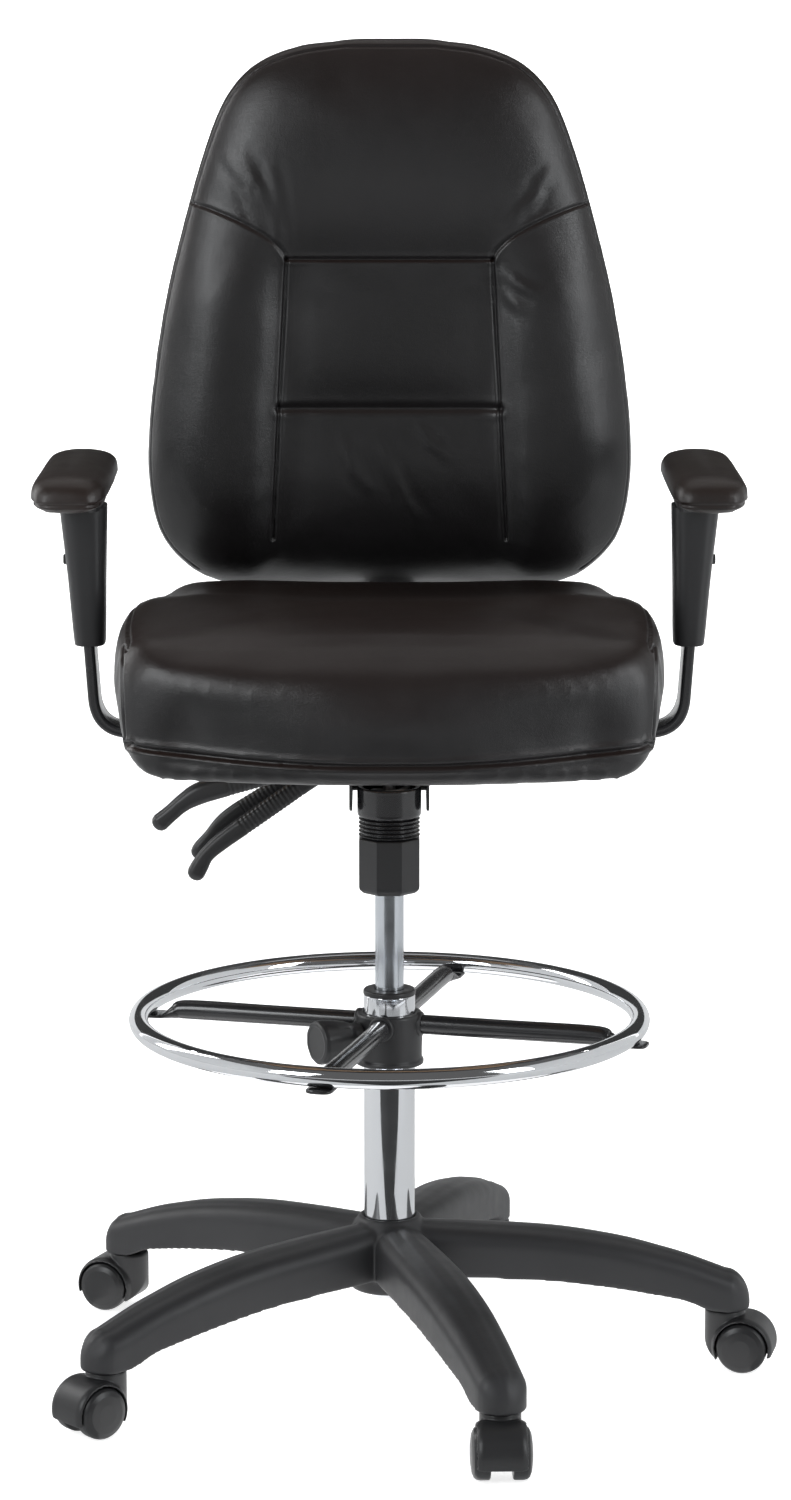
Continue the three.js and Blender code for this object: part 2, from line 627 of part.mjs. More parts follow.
// Two side walls on a floor, a cup for the tension spring in front and a socket for the gas cylinder.
function mechanismHousing() {
  const [floorLow, floorHigh] = [MECHANISM_BOTTOM, MECHANISM_BOTTOM + WALL_THICK];
  const wall = [
    [MECHANISM_FRONT, floorLow], [MECHANISM_BACK, floorLow], [MECHANISM_BACK, 610],
    [-12, 631], [-72, 631], [MECHANISM_FRONT, 624],
  ];
  const walls = [-1, 1].map((side) => plateAcrossX(wall, ...sideRange(side, WALL_X - WALL_THICK, WALL_X)));
  const spine = block(-SPINE_HALF, SPINE_HALF, TENSION_Y + 23, FLOOR_FRONT + 0.5, floorLow, floorHigh);
  const floor = block(-WALL_X, WALL_X, FLOOR_FRONT, MECHANISM_BACK, floorLow, floorHigh);
  const rearFront = MECHANISM_BACK - WALL_THICK;
  const rear = block(-WALL_X, WALL_X, rearFront, MECHANISM_BACK, floorLow, MECHANISM_REAR_TOP);
  const cup = turned([
    [0, CUP_BOTTOM], [CUP_RADIUS - 1, CUP_BOTTOM], [CUP_RADIUS, CUP_BOTTOM + 1.5], [CUP_RADIUS, CUP_TOP],
    [0, CUP_TOP],
  ]).translate([0, TENSION_Y, 0]);
  const cupBore = bar([0, TENSION_Y, CUP_BOTTOM + CUP_FLOOR], [0, TENSION_Y, 660], CUP_BORE, ROUND);
  const boltHole = bar([0, TENSION_Y, 550], [0, TENSION_Y, 600], BOLT_RADIUS + 0.5);
  const socket = bar([0, 0, floorLow + 1], [0, 0, floorLow + 22], CYLINDER_RADIUS + 6, ROUND);
  const socketBore = bar([0, 0, 560], [0, 0, 640], CYLINDER_RADIUS + 0.6, ROUND);
  const shaftHole = bar([-60, TILT_Y, TILT_Z], [60, TILT_Y, TILT_Z], SHAFT_HOLE);
  const windows = Object.values(LEVERS).map(({ y, window: [low, high] }) => (
    block(-WALL_X - 5, -WALL_X + 5, y - WINDOW_HALF, y + WINDOW_HALF, low, high)
  ));
  const body = joined(...walls, spine, floor, rear, cup, socket);
  return cut(body, cupBore, boltHole, socketBore, shaftHole, ...windows);
}

// The ridged sleeve between the knob and the cup.
function tensionCollar() {
  const [low, high, ridges] = [KNOB_TOP + 0.4, CUP_BOTTOM - GAP, 5];
  const [bore, root, crest] = [BOLT_RADIUS + 1, 26, 29.2];
  const pitch = (high - low) / ridges;
  const outline = [[bore, low]];
  for (let ridge = 0; ridge < ridges; ridge += 1) {
    outline.push([root, low + pitch * ridge + 0.1], [crest, low + pitch * (ridge + 0.5)]);
  }
  outline.push([root, high], [bore, high]);
  return turnedRing(outline, 16);
}

function tensionKnob() {
  const [bore, floor] = [BOLT_RADIUS + 0.6, KNOB_BOTTOM + 9];
  return turned([
    [0, KNOB_BOTTOM], [KNOB_RADIUS - 4, KNOB_BOTTOM], [KNOB_RADIUS, KNOB_BOTTOM + 8],
    [KNOB_RADIUS, KNOB_TOP - 7], [KNOB_RADIUS - 2, KNOB_TOP], [bore, KNOB_TOP], [bore, floor], [0, floor],
  ]);
}

function addMechanism() {
  addPart('mechanism_housing', mechanismHousing(), 'paint');
  const shaftHalf = WALL_X + 8;
  const shaft = bar([-shaftHalf, TILT_Y, TILT_Z], [shaftHalf, TILT_Y, TILT_Z], SHAFT_RADIUS);
  addPart('tilt_shaft', shaft, 'steel');

  const springFoot = CUP_BOTTOM + CUP_FLOOR + 0.4;
  const spring = turnedRing([[14, springFoot], [21, springFoot], [21, 634], [14, 634]]);
  addPart('tension_collar', tensionCollar().translate([0, TENSION_Y, 0]), 'paint');
  addPart('tension_spring', spring.translate([0, TENSION_Y, 0]), 'steel');
  const boltFoot = KNOB_BOTTOM + 10;
  addPart('tension_bolt', bar([0, TENSION_Y, boltFoot], [0, TENSION_Y, 636], BOLT_RADIUS), 'steel');
  addPart('tension_knob', tensionKnob().translate([0, TENSION_Y, 0]), 'plastic');

  for (const [name, { y, run }] of Object.entries(LEVERS)) {
    const stations = run.map(([x, z, wide, high]) => ({ at: [x, y, z], wide, high }));
    addPart(name, ovalBar(stations, [0, 1, 0]), 'plastic');
  }
}

// ---- Seat --------------------------------------------------------------------------------------

// Along the seat from the front: y, half width, bottom, height of the sides, depth of the dish.
const SEAT_STATIONS = [
  [-276, 196, 652, 706, 0],
  [-273, 224, 640, 724, 0],
  [-263, 242, SEAT_LIP, 741, 0],
  [-240, 251, SEAT_LIP, 756, 1],
  [-222, 254, 634, 762, 2],
  [-214, 255, SEAT_BOTTOM, 764, 2],
  [-160, 258, SEAT_BOTTOM, 773, 4],
  [-100, 258, SEAT_BOTTOM, 778, 9],
  [-50, 255, SEAT_BOTTOM, 777, 14],
  [60, 247, SEAT_BOTTOM, 764, 14],
  [130, 237, SEAT_BOTTOM, 760, 10],
  [185, 226, SEAT_BOTTOM, 759, 6],
  [207, 214, 658, 750, 2],
  [216, 196, 672, 734, 0],
];
const SEAT_CORNER = 26; // round of the top edge
const SEAT_BOW = 45; // the front edge's corners stand this far behind its middle
const BOW_START = -150;
const BOW_LENGTH = 120;
const BRACKET_X = 29; // inner face of the brackets that hold the back's foot
const DISH_SHARES = [[0.3, 1], [0.6, 0.7], [0.8, 0.15]]; // share of the half width, share of the dish

function seatSection([y, half, bottom, top, dish]) {
  const height = top - bottom;
  const corner = Math.min(SEAT_CORNER, height * 0.4);
  const right = DISH_SHARES.map(([share, depth]) => [share * half, top - depth * dish]);
  for (const angle of [0, 30, 60]) {
    const [across, down] = [Math.sin(radians(angle)), 1 - Math.cos(radians(angle))];
    right.push([half - corner * (1.1 - across), top - corner * down]);
  }
  right.push([half, bottom + 0.5 * height], [half - 5, bottom + 0.24 * height]);
  right.push([half - 17, bottom + 0.09 * height], [half - 42, bottom]);
  right.push([0.55 * half, bottom], [0.2 * half, bottom]);
  const left = right.map(([x, z]) => [-x, z]).reverse();
  const bow = SEAT_BOW * THREE.MathUtils.clamp((BOW_START - y) / BOW_LENGTH, 0, 1);
  return [...right, ...left].map(([x, z]) => new THREE.Vector3(x, y + bow * (x / half) ** 2, z));
}

// A steel plate with a cheek each side of the mechanism and a bracket each side of the back's foot.
function seatPlate() {
  const top = block(-100, 100, -110, 130, PLATE_BOTTOM, PLATE_TOP);
  const bracket = [[118, PLATE_BOTTOM + 1], [205, 628], [207, 600], [190, 586], [173, 593], [126, 634]];
  const cheeks = [-1, 1].flatMap((side) => [
    block(...sideRange(side, WALL_X + 1, WALL_X + 4), TILT_Y - 22, TILT_Y + 22, 600, PLATE_TOP),
    plateAcrossX(bracket, ...sideRange(side, BRACKET_X, BRACKET_X + 3)),
  ]);
  const tiltHole = bar([-60, TILT_Y, TILT_Z], [60, TILT_Y, TILT_Z], SHAFT_HOLE);
  const reclineHole = bar([-60, RECLINE_Y, RECLINE_Z], [60, RECLINE_Y, RECLINE_Z], SHAFT_HOLE);
  return cut(joined(top, ...cheeks), tiltHole, reclineHole);
}

function addSeat() {
  addPart('seat_plate', seatPlate(), 'paint');
  const shaftHalf = BRACKET_X + 6;
  const shaft = bar([-shaftHalf, RECLINE_Y, RECLINE_Z], [shaftHalf, RECLINE_Y, RECLINE_Z], SHAFT_RADIUS);
  addPart('recline_shaft', shaft, 'steel');
  const panOutline = roundedRectangle(-212, 212, -200, 192, 80, 5);
  addPart('seat_pan', plateAcrossZ(panOutline, PLATE_TOP + 0.4, PAN_TOP), 'board');
  const rings = SEAT_STATIONS.map(seatSection);
  const side = rings[0].length / 4 - 1; // the end caps are closed from this point of the ring
  addPart('seat_cushion', loft(rings, side), 'leather');
}

// ---- Back --------------------------------------------------------------------------------------

// The back's outline: half width at each height, from the foot to the crown.
const BACK_OUTLINE = [
  [744, 140], [749, 168], [764, 201], [800, 232], [850, 244], [900, 245], [960, 239], [1040, 226],
  [1120, 206], [1192, 184], [1240, 163], [1270, 134], [1287, 92], [1294, 45],
];
const BACK_SHELL_SHARE = 0.84;
const BACK_WAIST = 1000; // below it the back thins from its front only
const BACK_POINTS = 16; // points round a level section of the back cushion
const BACK_BAR_TOP = 1000;
const BACK_BAR_HALF = 25;
const EYE_RADIUS = 12;
const SHELL_THICK = 9.5;

// How much of its full depth the back has at a height: it thins towards the foot and the crown.
function backFullness(z) {
  const [foot, crown] = [BACK_OUTLINE[0][0], BACK_OUTLINE[BACK_OUTLINE.length - 1][0]];
  const along = (2 * (z - foot)) / (crown - foot) - 1;
  return Math.max(0.24, (1 - Math.abs(along) ** 5) ** 0.5);
}

function backSection([z, half]) {
  const fullness = backFullness(z);
  const atFoot = z < BACK_WAIST;
  const middle = BACK_MIDDLE + (atFoot ? (BACK_REAR - BACK_MIDDLE - 2) * (1 - fullness) : 0);
  const points = [];
  for (let k = 0; k < BACK_POINTS; k += 1) {
    const angle = (2 * Math.PI * (k + 0.5)) / BACK_POINTS;
    const [c, s] = [Math.cos(angle), Math.sin(angle)];
    const depth = (s < 0 ? BACK_MIDDLE - BACK_FRONT : BACK_REAR - BACK_MIDDLE) * fullness;
    const x = half * Math.sign(c) * Math.abs(c) ** 0.6;
    points.push(new THREE.Vector3(x, middle + depth * Math.sign(s) * Math.abs(s) ** 0.6, z));
  }
  return points;
}

// A bent flat bar with an eye for the recline shaft.
function backBar() {
  const corners = [[RECLINE_Y, RECLINE_Z], [BAR_Y, RECLINE_Z], [BAR_Y, BACK_BAR_TOP]];
  const blade = plateAcrossX(strip(roundedLine(corners, 30, 6), BAR_THICK), -BACK_BAR_HALF, BACK_BAR_HALF);
  const [from, to] = [[-BACK_BAR_HALF, RECLINE_Y, RECLINE_Z], [BACK_BAR_HALF, RECLINE_Y, RECLINE_Z]];
  const hole = bar([-60, RECLINE_Y, RECLINE_Z], [60, RECLINE_Y, RECLINE_Z], SHAFT_HOLE);
  return cut(joined(blade, bar(from, to, EYE_RADIUS, 20)), hole);
}

function backSlider(front) {
  const slotHalf = BAR_THICK / 2 + 0.4;
  const body = plateAcrossZ(roundedRectangle(-42, 42, front, BAR_Y + 16, 8), 800, 900);
  const [left, right] = [-BACK_BAR_HALF - 0.5, BACK_BAR_HALF + 0.5];
  return cut(body, block(left, right, BAR_Y - slotHalf, BAR_Y + slotHalf, 700, 1000));
}

function addBack() {
  addPart('back_bar', backBar(), 'paint');
  const shellFront = BACK_REAR + GAP;
  addPart('back_slider', backSlider(shellFront + SHELL_THICK + GAP), 'plastic');
  const rows = BACK_OUTLINE.filter(([z]) => z > 780 && z < 1280);
  const right = rows.map(([z, half]) => [half * BACK_SHELL_SHARE, z]);
  const left = right.map(([x, z]) => [-x, z]).reverse();
  addPart('back_shell', plateAcrossY([...right, ...left], shellFront, shellFront + SHELL_THICK), 'plastic');
  addPart('back_cushion', loft(BACK_OUTLINE.map(backSection)), 'leather');
}

// ---- Arms --------------------------------------------------------------------------------------

// Along a pad from the front: y, half width, bottom, top.
const PAD_STATIONS = [
  [-118, 24, 866, 882],
  [-112, 31, 863, 890],
  [-100, 36, PAD_BOTTOM, 896],
  [-80, 38, PAD_BOTTOM, PAD_TOP],
  [122, 37, PAD_BOTTOM, PAD_TOP],
  [138, 35, PAD_BOTTOM, 896],
  [147, 30, 863, 890],
  [151, 24, 866, 882],
];
// Up a sleeve: height, inner face, outer face, half depth.
const SLEEVE_STATIONS = [
  [SLEEVE_BOTTOM, 276, 298.5, 22],
  [SLEEVE_BOTTOM + 5, 272.5, 302.5, 26.5],
  [790, 271.5, 308, 29],
  [SLEEVE_TOP - 5, 270, 314.5, 32],
  [SLEEVE_TOP, 270, 314.5, 32],
];
const BUTTON_Z = 805;
const BUTTON_RADIUS = 5;
const BUTTON_FACE = 312.5;
const BAR_LEG_Z = 639.2;
const BAR_LEG_END = 116;
const BAR_TOP = 822;

// Middle of an arm's upright at a height.
function leanX(z) {
  return ARM_BAR_X + ARM_LEAN * (z - SLEEVE_BOTTOM);
}

function armSleeve() {
  const rings = SLEEVE_STATIONS.map(([z, inner, outer, depth]) => {
    const outline = roundedRectangle(inner, outer, -depth, depth, (outer - inner) * 0.42);
    return outline.map(([x, y]) => new THREE.Vector3(x, y, z));
  });
  const plate = block(ARM_X - 27, ARM_X + 27, -60, 80, SLEEVE_TOP - 0.5, PAD_BOTTOM - GAP);
  const slotLine = [700, 854].map((z) => new THREE.Vector2(leanX(z), z));
  const slotHalf = ARM_BAR_WIDTH / 2 + 0.4;
  const slot = plateAcrossY(strip(slotLine, ARM_BAR_THICK + 0.8), -slotHalf, slotHalf);
  const buttonHole = bar([leanX(BUTTON_Z), 0, BUTTON_Z], [340, 0, BUTTON_Z], BUTTON_RADIUS + 0.4);
  return cut(joined(loft(rings), plate), slot, buttonHole);
}

function armPad() {
  return loft(PAD_STATIONS.map(([y, half, bottom, top]) => {
    const outline = roundedRectangle(ARM_X - half, ARM_X + half, bottom, top, (top - bottom) * 0.38);
    return outline.map(([x, z]) => new THREE.Vector3(x, y, z));
  }));
}

// One arm on the +X side. Each piece is mirrored for the other arm.
function armPieces() {
  const corners = [[BAR_LEG_END, BAR_LEG_Z], [leanX(BAR_LEG_Z), BAR_LEG_Z], [leanX(BAR_TOP), BAR_TOP]];
  const half = ARM_BAR_WIDTH / 2;
  const inner = leanX(BUTTON_Z) + 9.4;
  return {
    bar: plateAcrossY(strip(roundedLine(corners, 26, 6), ARM_BAR_THICK), -half, half),
    sleeve: armSleeve(),
    button: bar([inner, 0, BUTTON_Z], [BUTTON_FACE, 0, BUTTON_Z], BUTTON_RADIUS),
    pad: armPad(),
  };
}

function addArms() {
  const finishes = { bar: 'paint', sleeve: 'plastic', button: 'plastic', pad: 'pad' };
  for (const [piece, body] of Object.entries(armPieces())) {
    addPart(`arm_${piece}_left`, body, finishes[piece]);
    addPart(`arm_${piece}_right`, body.mirror([1, 0, 0]), finishes[piece]);
  }
}

addBase();
addCasters();
addColumn();
addFootRing();
addMechanism();
addSeat();
addBack();
addArms();

export default group;
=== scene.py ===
"""Drafting chair: the looks, built in millimetres round the column axis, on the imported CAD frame."""

import json
import math

import bmesh
import bpy
import numpy as np
from mathutils import Matrix, Vector
from mathutils.bvhtree import BVHTree

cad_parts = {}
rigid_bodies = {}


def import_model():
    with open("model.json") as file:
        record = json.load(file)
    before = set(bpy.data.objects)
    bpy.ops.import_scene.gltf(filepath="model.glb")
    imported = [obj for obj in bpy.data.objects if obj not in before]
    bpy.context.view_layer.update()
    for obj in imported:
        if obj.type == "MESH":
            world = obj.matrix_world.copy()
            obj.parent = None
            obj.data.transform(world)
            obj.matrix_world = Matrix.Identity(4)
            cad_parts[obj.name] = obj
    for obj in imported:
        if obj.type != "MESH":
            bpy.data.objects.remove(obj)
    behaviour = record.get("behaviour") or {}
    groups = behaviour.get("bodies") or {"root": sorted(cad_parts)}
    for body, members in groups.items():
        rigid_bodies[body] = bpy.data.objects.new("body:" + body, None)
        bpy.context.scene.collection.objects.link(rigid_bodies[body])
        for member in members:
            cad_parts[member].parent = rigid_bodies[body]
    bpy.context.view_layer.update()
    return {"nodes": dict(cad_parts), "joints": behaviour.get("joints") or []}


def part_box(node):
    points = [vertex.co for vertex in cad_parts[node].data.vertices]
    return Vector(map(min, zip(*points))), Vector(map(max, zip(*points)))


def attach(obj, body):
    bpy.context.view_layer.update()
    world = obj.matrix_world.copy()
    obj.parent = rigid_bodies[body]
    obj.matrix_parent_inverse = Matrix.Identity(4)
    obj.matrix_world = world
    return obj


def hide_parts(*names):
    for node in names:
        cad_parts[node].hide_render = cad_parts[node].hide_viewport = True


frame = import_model()

MM = 0.001
JOINTS = {joint["name"]: joint for joint in frame["joints"]}
COLUMN = np.array([JOINTS["seat_swivel"]["pos_m"][0], 0.0, 0.0])


def box_mm(node):
    """Lowest and highest corner of a CAD node, in millimetres from the column's foot."""
    low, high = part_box(node)
    return (np.array(low) - COLUMN) / MM, (np.array(high) - COLUMN) / MM


# ---- Dimensions, in millimetres round the column axis -------------------------------------------

ROUND = 96  # sides of a round piece

ARM_COUNT = 5
SOCKET_RADIUS = 331  # from the column to a caster's stem
SOCKET_HALF = 24.5
TIP_DROP = 33
SHOULDER = 16
ARM_WALL = 4
RIB_HALF = 1.8

WHEEL_RADIUS = 25
TRAIL = 20  # from a caster's stem to its axle
TRAIL_HEADINGS = [347, 88, 157, 221, 272]
COVER_LIP = -17  # how low the cover reaches on the trailing side, in degrees round the axle
COVER_HALF = 23.5
COVER_OUTER = WHEEL_RADIUS + 5
COVER_INNER = WHEEL_RADIUS + 1.4
WEB_RADIUS = 27.6
WEB_HALF = 9.2
BOSS_RADIUS = 19.5
AXLE_RADIUS = 3
AXLE_HALF = 22

RING_RADIUS = 244.5
RING_TUBE = 9.5
RING_Z = 354.5
SPOKE_ANGLES = [-15, 75, 165, 255]
SPOKE_Z = 349
SPOKE_FLAT_Z = RING_Z - RING_TUBE - 2.6  # middle of a spoke's flattened end, under the ring
CLAMP_HEADING = 210
CLAMP_Z = 338

TENSION_Y = -85
WALL_X = 38
WALL_THICK = 3
FLOOR_BOTTOM, FLOOR_TOP = 577, 580.2
WINDOW_HALF = 9
COIL_RADIUS = 17.5
COIL_WIRE = 5.6
LEVER_RIBS = (0.34, 0.68)  # where the ribbed grip starts and ends along a lever
RIB_DEPTH = 0.9

SEAT_CORNER = 30
SEAT_BOW = 45
BOW_START, BOW_LENGTH = -150, 120
SEAT_INSET = 3.0  # how much smaller the seat starts, before it is puffed up
LIP_SEAM_Z = 653
SKIRT_SEAM_Z = 668

BACK_FRONT, BACK_MIDDLE, BACK_REAR = 150, 200, 246
BACK_WAIST = 1000
BACK_INSET = 4.0
PANEL_RECESS = 13.0
BOLSTER_RISE = 9.0
EDGE_SEAM_INSET = 8.0
SEAM_TOP_Z, SEAM_LOW_Z, SEAM_FOOT_Z = 1079.5, 932, 800
RECLINE_Y, RECLINE_Z = 190, 600
BAR_Y = 269

ARM_X = 301
ARM_LEAN = 0.07
ARM_BAR_X = 287.5
STRAP_WIDE, STRAP_THICK = 45, 10.5
SLEEVE_BOTTOM, SLEEVE_TOP = 723, 857.3
BUTTON_Z = 805
PAD_SEAM_Z = 871

# ---- Camera and studio --------------------------------------------------------------------------

CAMERA_LENS = 109.97
CAMERA_PLACE = (COLUMN[0] + 0.0059, -4.3533, 1.4112)
CAMERA_TILT = 0.18  # how far it looks down, in radians
COOL = (0.95, 0.98, 1.0)


def placed_object(name, mesh):
    made = bpy.data.objects.new(name, mesh)
    bpy.context.scene.collection.objects.link(made)
    return made


def area_light(name, place, target, size, power, colour=(1.0, 1.0, 1.0)):
    data = bpy.data.lights.new(name, "AREA")
    data.shape = "RECTANGLE"
    data.size, data.size_y = size
    data.energy = power
    data.color = colour
    light = placed_object(name, data)
    light.location = place
    light.rotation_euler = (Vector(target) - Vector(place)).to_track_quat("-Z", "Y").to_euler()


def make_camera():
    data = bpy.data.cameras.new("camera")
    data.sensor_width = 36
    data.lens = CAMERA_LENS
    camera = placed_object("camera", data)
    camera.location = CAMERA_PLACE
    camera.rotation_euler = (math.pi / 2 - CAMERA_TILT, 0, 0)
    bpy.context.scene.camera = camera


def studio_piece(name, points, faces, grey, roughness, glow, tint=COOL):
    """A plain surface of the studio, in metres."""
    material = bpy.data.materials.new(name)
    material.use_nodes = True
    shader = material.node_tree.nodes["Principled BSDF"]
    shader.inputs["Base Color"].default_value = (grey, grey, grey, 1)
    shader.inputs["Roughness"].default_value = roughness
    shader.inputs["Emission Color"].default_value = (*tint, 1)
    shader.inputs["Emission Strength"].default_value = glow
    mesh = bpy.data.meshes.new(name)
    mesh.from_pydata(points, [], faces)
    mesh.materials.append(material)
    made = placed_object(name, mesh)
    return made


def make_floor():
    """A floor that curves up into a wall."""
    reach, front, foot, corner, top = 18.0, -45.0, 10.8, 2.4, 14.0
    profile = [(front, 0.0), (foot, 0.0)]
    for step in range(1, 9):
        angle = math.pi / 2 * step / 8
        profile.append((foot + corner * math.sin(angle), corner * (1 - math.cos(angle))))
    profile.append((foot + corner, top))
    points = [(x, y, z) for y, z in profile for x in (-reach, reach)]
    faces = [(2 * i, 2 * i + 1, 2 * i + 3, 2 * i + 2) for i in range(len(profile) - 1)]
    floor = studio_piece("studio_floor", points, faces, 0.9, 0.6, 0.78, (1.0, 1.0, 1.0))
    floor.data.shade_smooth()


def make_lights():
    world = bpy.data.worlds.new("studio_world")
    world.use_nodes = True
    world.node_tree.nodes["Background"].inputs["Color"].default_value = (1, 1, 1, 1)
    world.node_tree.nodes["Background"].inputs["Strength"].default_value = 0.12
    bpy.context.scene.world = world
    bpy.context.scene.view_settings.view_transform = "Standard"
    area_light("key", (-2.3, -2.4, 2.1), (0, 0, 0.8), (1.1, 1.8), 44, COOL)
    area_light("fill", (2.5, -1.7, 1.7), (0, 0, 0.8), (0.8, 2.2), 30, COOL)
    area_light("rim_left", (-2.2, 0.9, 1.6), (0, 0, 0.8), (0.5, 2.0), 16)
    area_light("overhead", (0.0, 0.4, 3.2), (0, 0, 0.6), (2.4, 1.4), 5)
    area_light("backdrop_light", (0.0, 7.2, 9.2), (0, 13.2, 2.8), (14.0, 2.0), 1040)


# Floor panels: rows of distance from the column in metres and half angle there in degrees, then
# height, grey and glow.
FLOOR_PANELS = {
    "panel_floor_dark": ([(0.45, 2), (0.60, 12), (0.90, 26), (1.40, 40), (2.80, 46)], 0.004, 0.03, 0.0),
    "panel_floor_far": ([(2.80, 46), (7.00, 50)], 0.004, 0.35, 0.22),
    "panel_floor_grey": ([(0.36, 180), (5.0, 180)], 0.002, 0.5, 0.3),
}
FAN_STEPS = 24
# Panels behind and beside the chair: the ends of the foot in metres, lower and upper edge, grey and glow.
WALL_PANELS = {
    "panel_back_low": ((-2.2, 2.2), (2.2, 2.2), 0.03, 0.80, 0.5, 0.25),
    "panel_back_high": ((-2.2, 2.2), (2.2, 2.2), 0.80, 3.60, 0.03, 0.0),
    "panel_side_-1": ((-3.2, -3.0), (-3.2, 3.0), 0.05, 3.6, 0.3, 0.35),
    "panel_side_1": ((3.2, -3.0), (3.2, 3.0), 0.05, 3.6, 0.3, 0.35),
}


def panel(name, points, faces, grey, glow):
    """A panel that only reflections see."""
    made = studio_piece(name, points, faces, grey, 0.9, glow)
    made.visible_camera = made.visible_diffuse = made.visible_shadow = False


def fan(rows, height):
    """Points and faces of a flat fan, its middle straight in front of the column."""
    points = []
    for reach, half in rows:
        for angle in np.radians(np.linspace(-half, half, FAN_STEPS + 1) - 90):
            points.append((COLUMN[0] + reach * math.cos(angle), reach * math.sin(angle), height))
    width = FAN_STEPS + 1
    faces = []
    for start in range(0, width * (len(rows) - 1), width):
        faces += [(i, i + 1, i + width + 1, i + width) for i in range(start, start + FAN_STEPS)]
    return points, faces


def make_panels():
    """Dark and grey panels, so that chrome and leather have something to reflect."""
    for name, (rows, height, grey, glow) in FLOOR_PANELS.items():
        panel(name, *fan(rows, height), grey, glow)
    for name, (start, end, low, high, grey, glow) in WALL_PANELS.items():
        corners = [(*start, low), (*end, low), (*end, high), (*start, high)]
        panel(name, corners, [(0, 1, 2, 3)], grey, glow)


# ---- Mesh tools ---------------------------------------------------------------------------------


def new_object(name, points, faces, sharp_angle=40, place=True):
    """A mesh object from millimetre points. With place off, the points are already local."""
    mesh = bpy.data.meshes.new(name)
    points = np.asarray(points, float) * MM
    if place:
        points = points + COLUMN
    mesh.from_pydata(points.tolist(), [], faces)
    work = bmesh.new()
    work.from_mesh(mesh)
    bmesh.ops.remove_doubles(work, verts=work.verts, dist=1e-6)
    bmesh.ops.dissolve_degenerate(work, edges=work.edges, dist=1e-7)
    bmesh.ops.recalc_face_normals(work, faces=work.faces)
    work.to_mesh(mesh)
    work.free()
    smooth(mesh, sharp_angle)
    return placed_object(name, mesh)


def smooth(mesh, sharp_angle=40):
    mesh.shade_smooth()
    mesh.set_sharp_from_angle(angle=math.radians(sharp_angle))


def coordinates(mesh, kind="co"):
    flat = np.empty(len(mesh.vertices) * 3)
    mesh.vertices.foreach_get(kind, flat)
    return flat.reshape(-1, 3)


def normals(mesh):
    return coordinates(mesh, "normal")


def set_coordinates(mesh, points):
    mesh.vertices.foreach_set("co", points.ravel())
    mesh.update()


def baked(made):
    """Applies every modifier."""
    graph = bpy.context.evaluated_depsgraph_get()
    result = bpy.data.meshes.new_from_object(made.evaluated_get(graph))
    result.name = made.name
    made.modifiers.clear()
    made.data = result
    return made


def bevelled(made, width, segments=3, angle=30):
    bevel = made.modifiers.new("bevel", "BEVEL")
    bevel.width = width * MM
    bevel.segments = segments
    bevel.limit_method = "ANGLE"
    bevel.angle_limit = math.radians(angle)
    bevel.harden_normals = False
    baked(made)
    smooth(made.data, 50)
    return made


def subdivided(made, levels=1):
    surface = made.modifiers.new("subdivision", "SUBSURF")
    surface.levels = surface.render_levels = levels
    return baked(made)


def remeshed(made, voxel, relax=4):
    """One closed skin over everything in the object, its corners eased."""
    remesh = made.modifiers.new("remesh", "REMESH")
    remesh.mode = "VOXEL"
    remesh.voxel_size = voxel * MM
    remesh.use_smooth_shade = True
    if relax:
        ease = made.modifiers.new("ease", "SMOOTH")
        ease.factor = 0.5
        ease.iterations = relax
    return baked(made)


def united(name, parts):
    """Joins objects into one object of several shells."""
    work = bmesh.new()
    for part in parts:
        work.from_mesh(part.data)
        bpy.data.objects.remove(part)
    mesh = bpy.data.meshes.new(name)
    work.to_mesh(mesh)
    work.free()
    mesh.shade_smooth()
    return placed_object(name, mesh)


def carved(made, *tools, operation="DIFFERENCE"):
    for tool in tools:
        boolean = made.modifiers.new("cut", "BOOLEAN")
        boolean.operation = operation
        boolean.solver = "EXACT"
        boolean.object = tool
    baked(made)
    for tool in tools:
        bpy.data.objects.remove(tool)
    return made


def common(made, shape):
    """What two objects share."""
    return carved(made, shape, operation="INTERSECT")


def loft(name, rings, closed=False, place=True, sharp_angle=40):
    """A skin over rings of equal length: capped at both ends, or closed into a loop."""
    rings = np.asarray(rings, float)
    count, sides = rings.shape[:2]
    faces = []
    for i in range(count if closed else count - 1):
        j = (i + 1) % count
        for k in range(sides):
            m = (k + 1) % sides
            faces.append((i * sides + k, i * sides + m, j * sides + m, j * sides + k))
    if not closed:
        faces.append(tuple(range(sides)))
        faces.append(tuple((count - 1) * sides + k for k in reversed(range(sides))))
    return new_object(name, rings.reshape(-1, 3), faces, sharp_angle, place)


def eased(points, radius, steps=4):
    """A corner line with its inner corners rounded off."""
    points = [np.array(point, float) for point in points]
    line = [points[0]]
    for before, corner, after in zip(points, points[1:], points[2:]):
        back, ahead = before - corner, after - corner
        reach_back = min(radius, np.linalg.norm(back) * 0.45)
        reach_ahead = min(radius, np.linalg.norm(ahead) * 0.45)
        start = corner + back / np.linalg.norm(back) * reach_back
        end = corner + ahead / np.linalg.norm(ahead) * reach_ahead
        for step in range(steps + 1):
            t = step / steps
            line.append((1 - t) ** 2 * start + 2 * t * (1 - t) * corner + t * t * end)
    line.append(points[-1])
    return np.array(line)


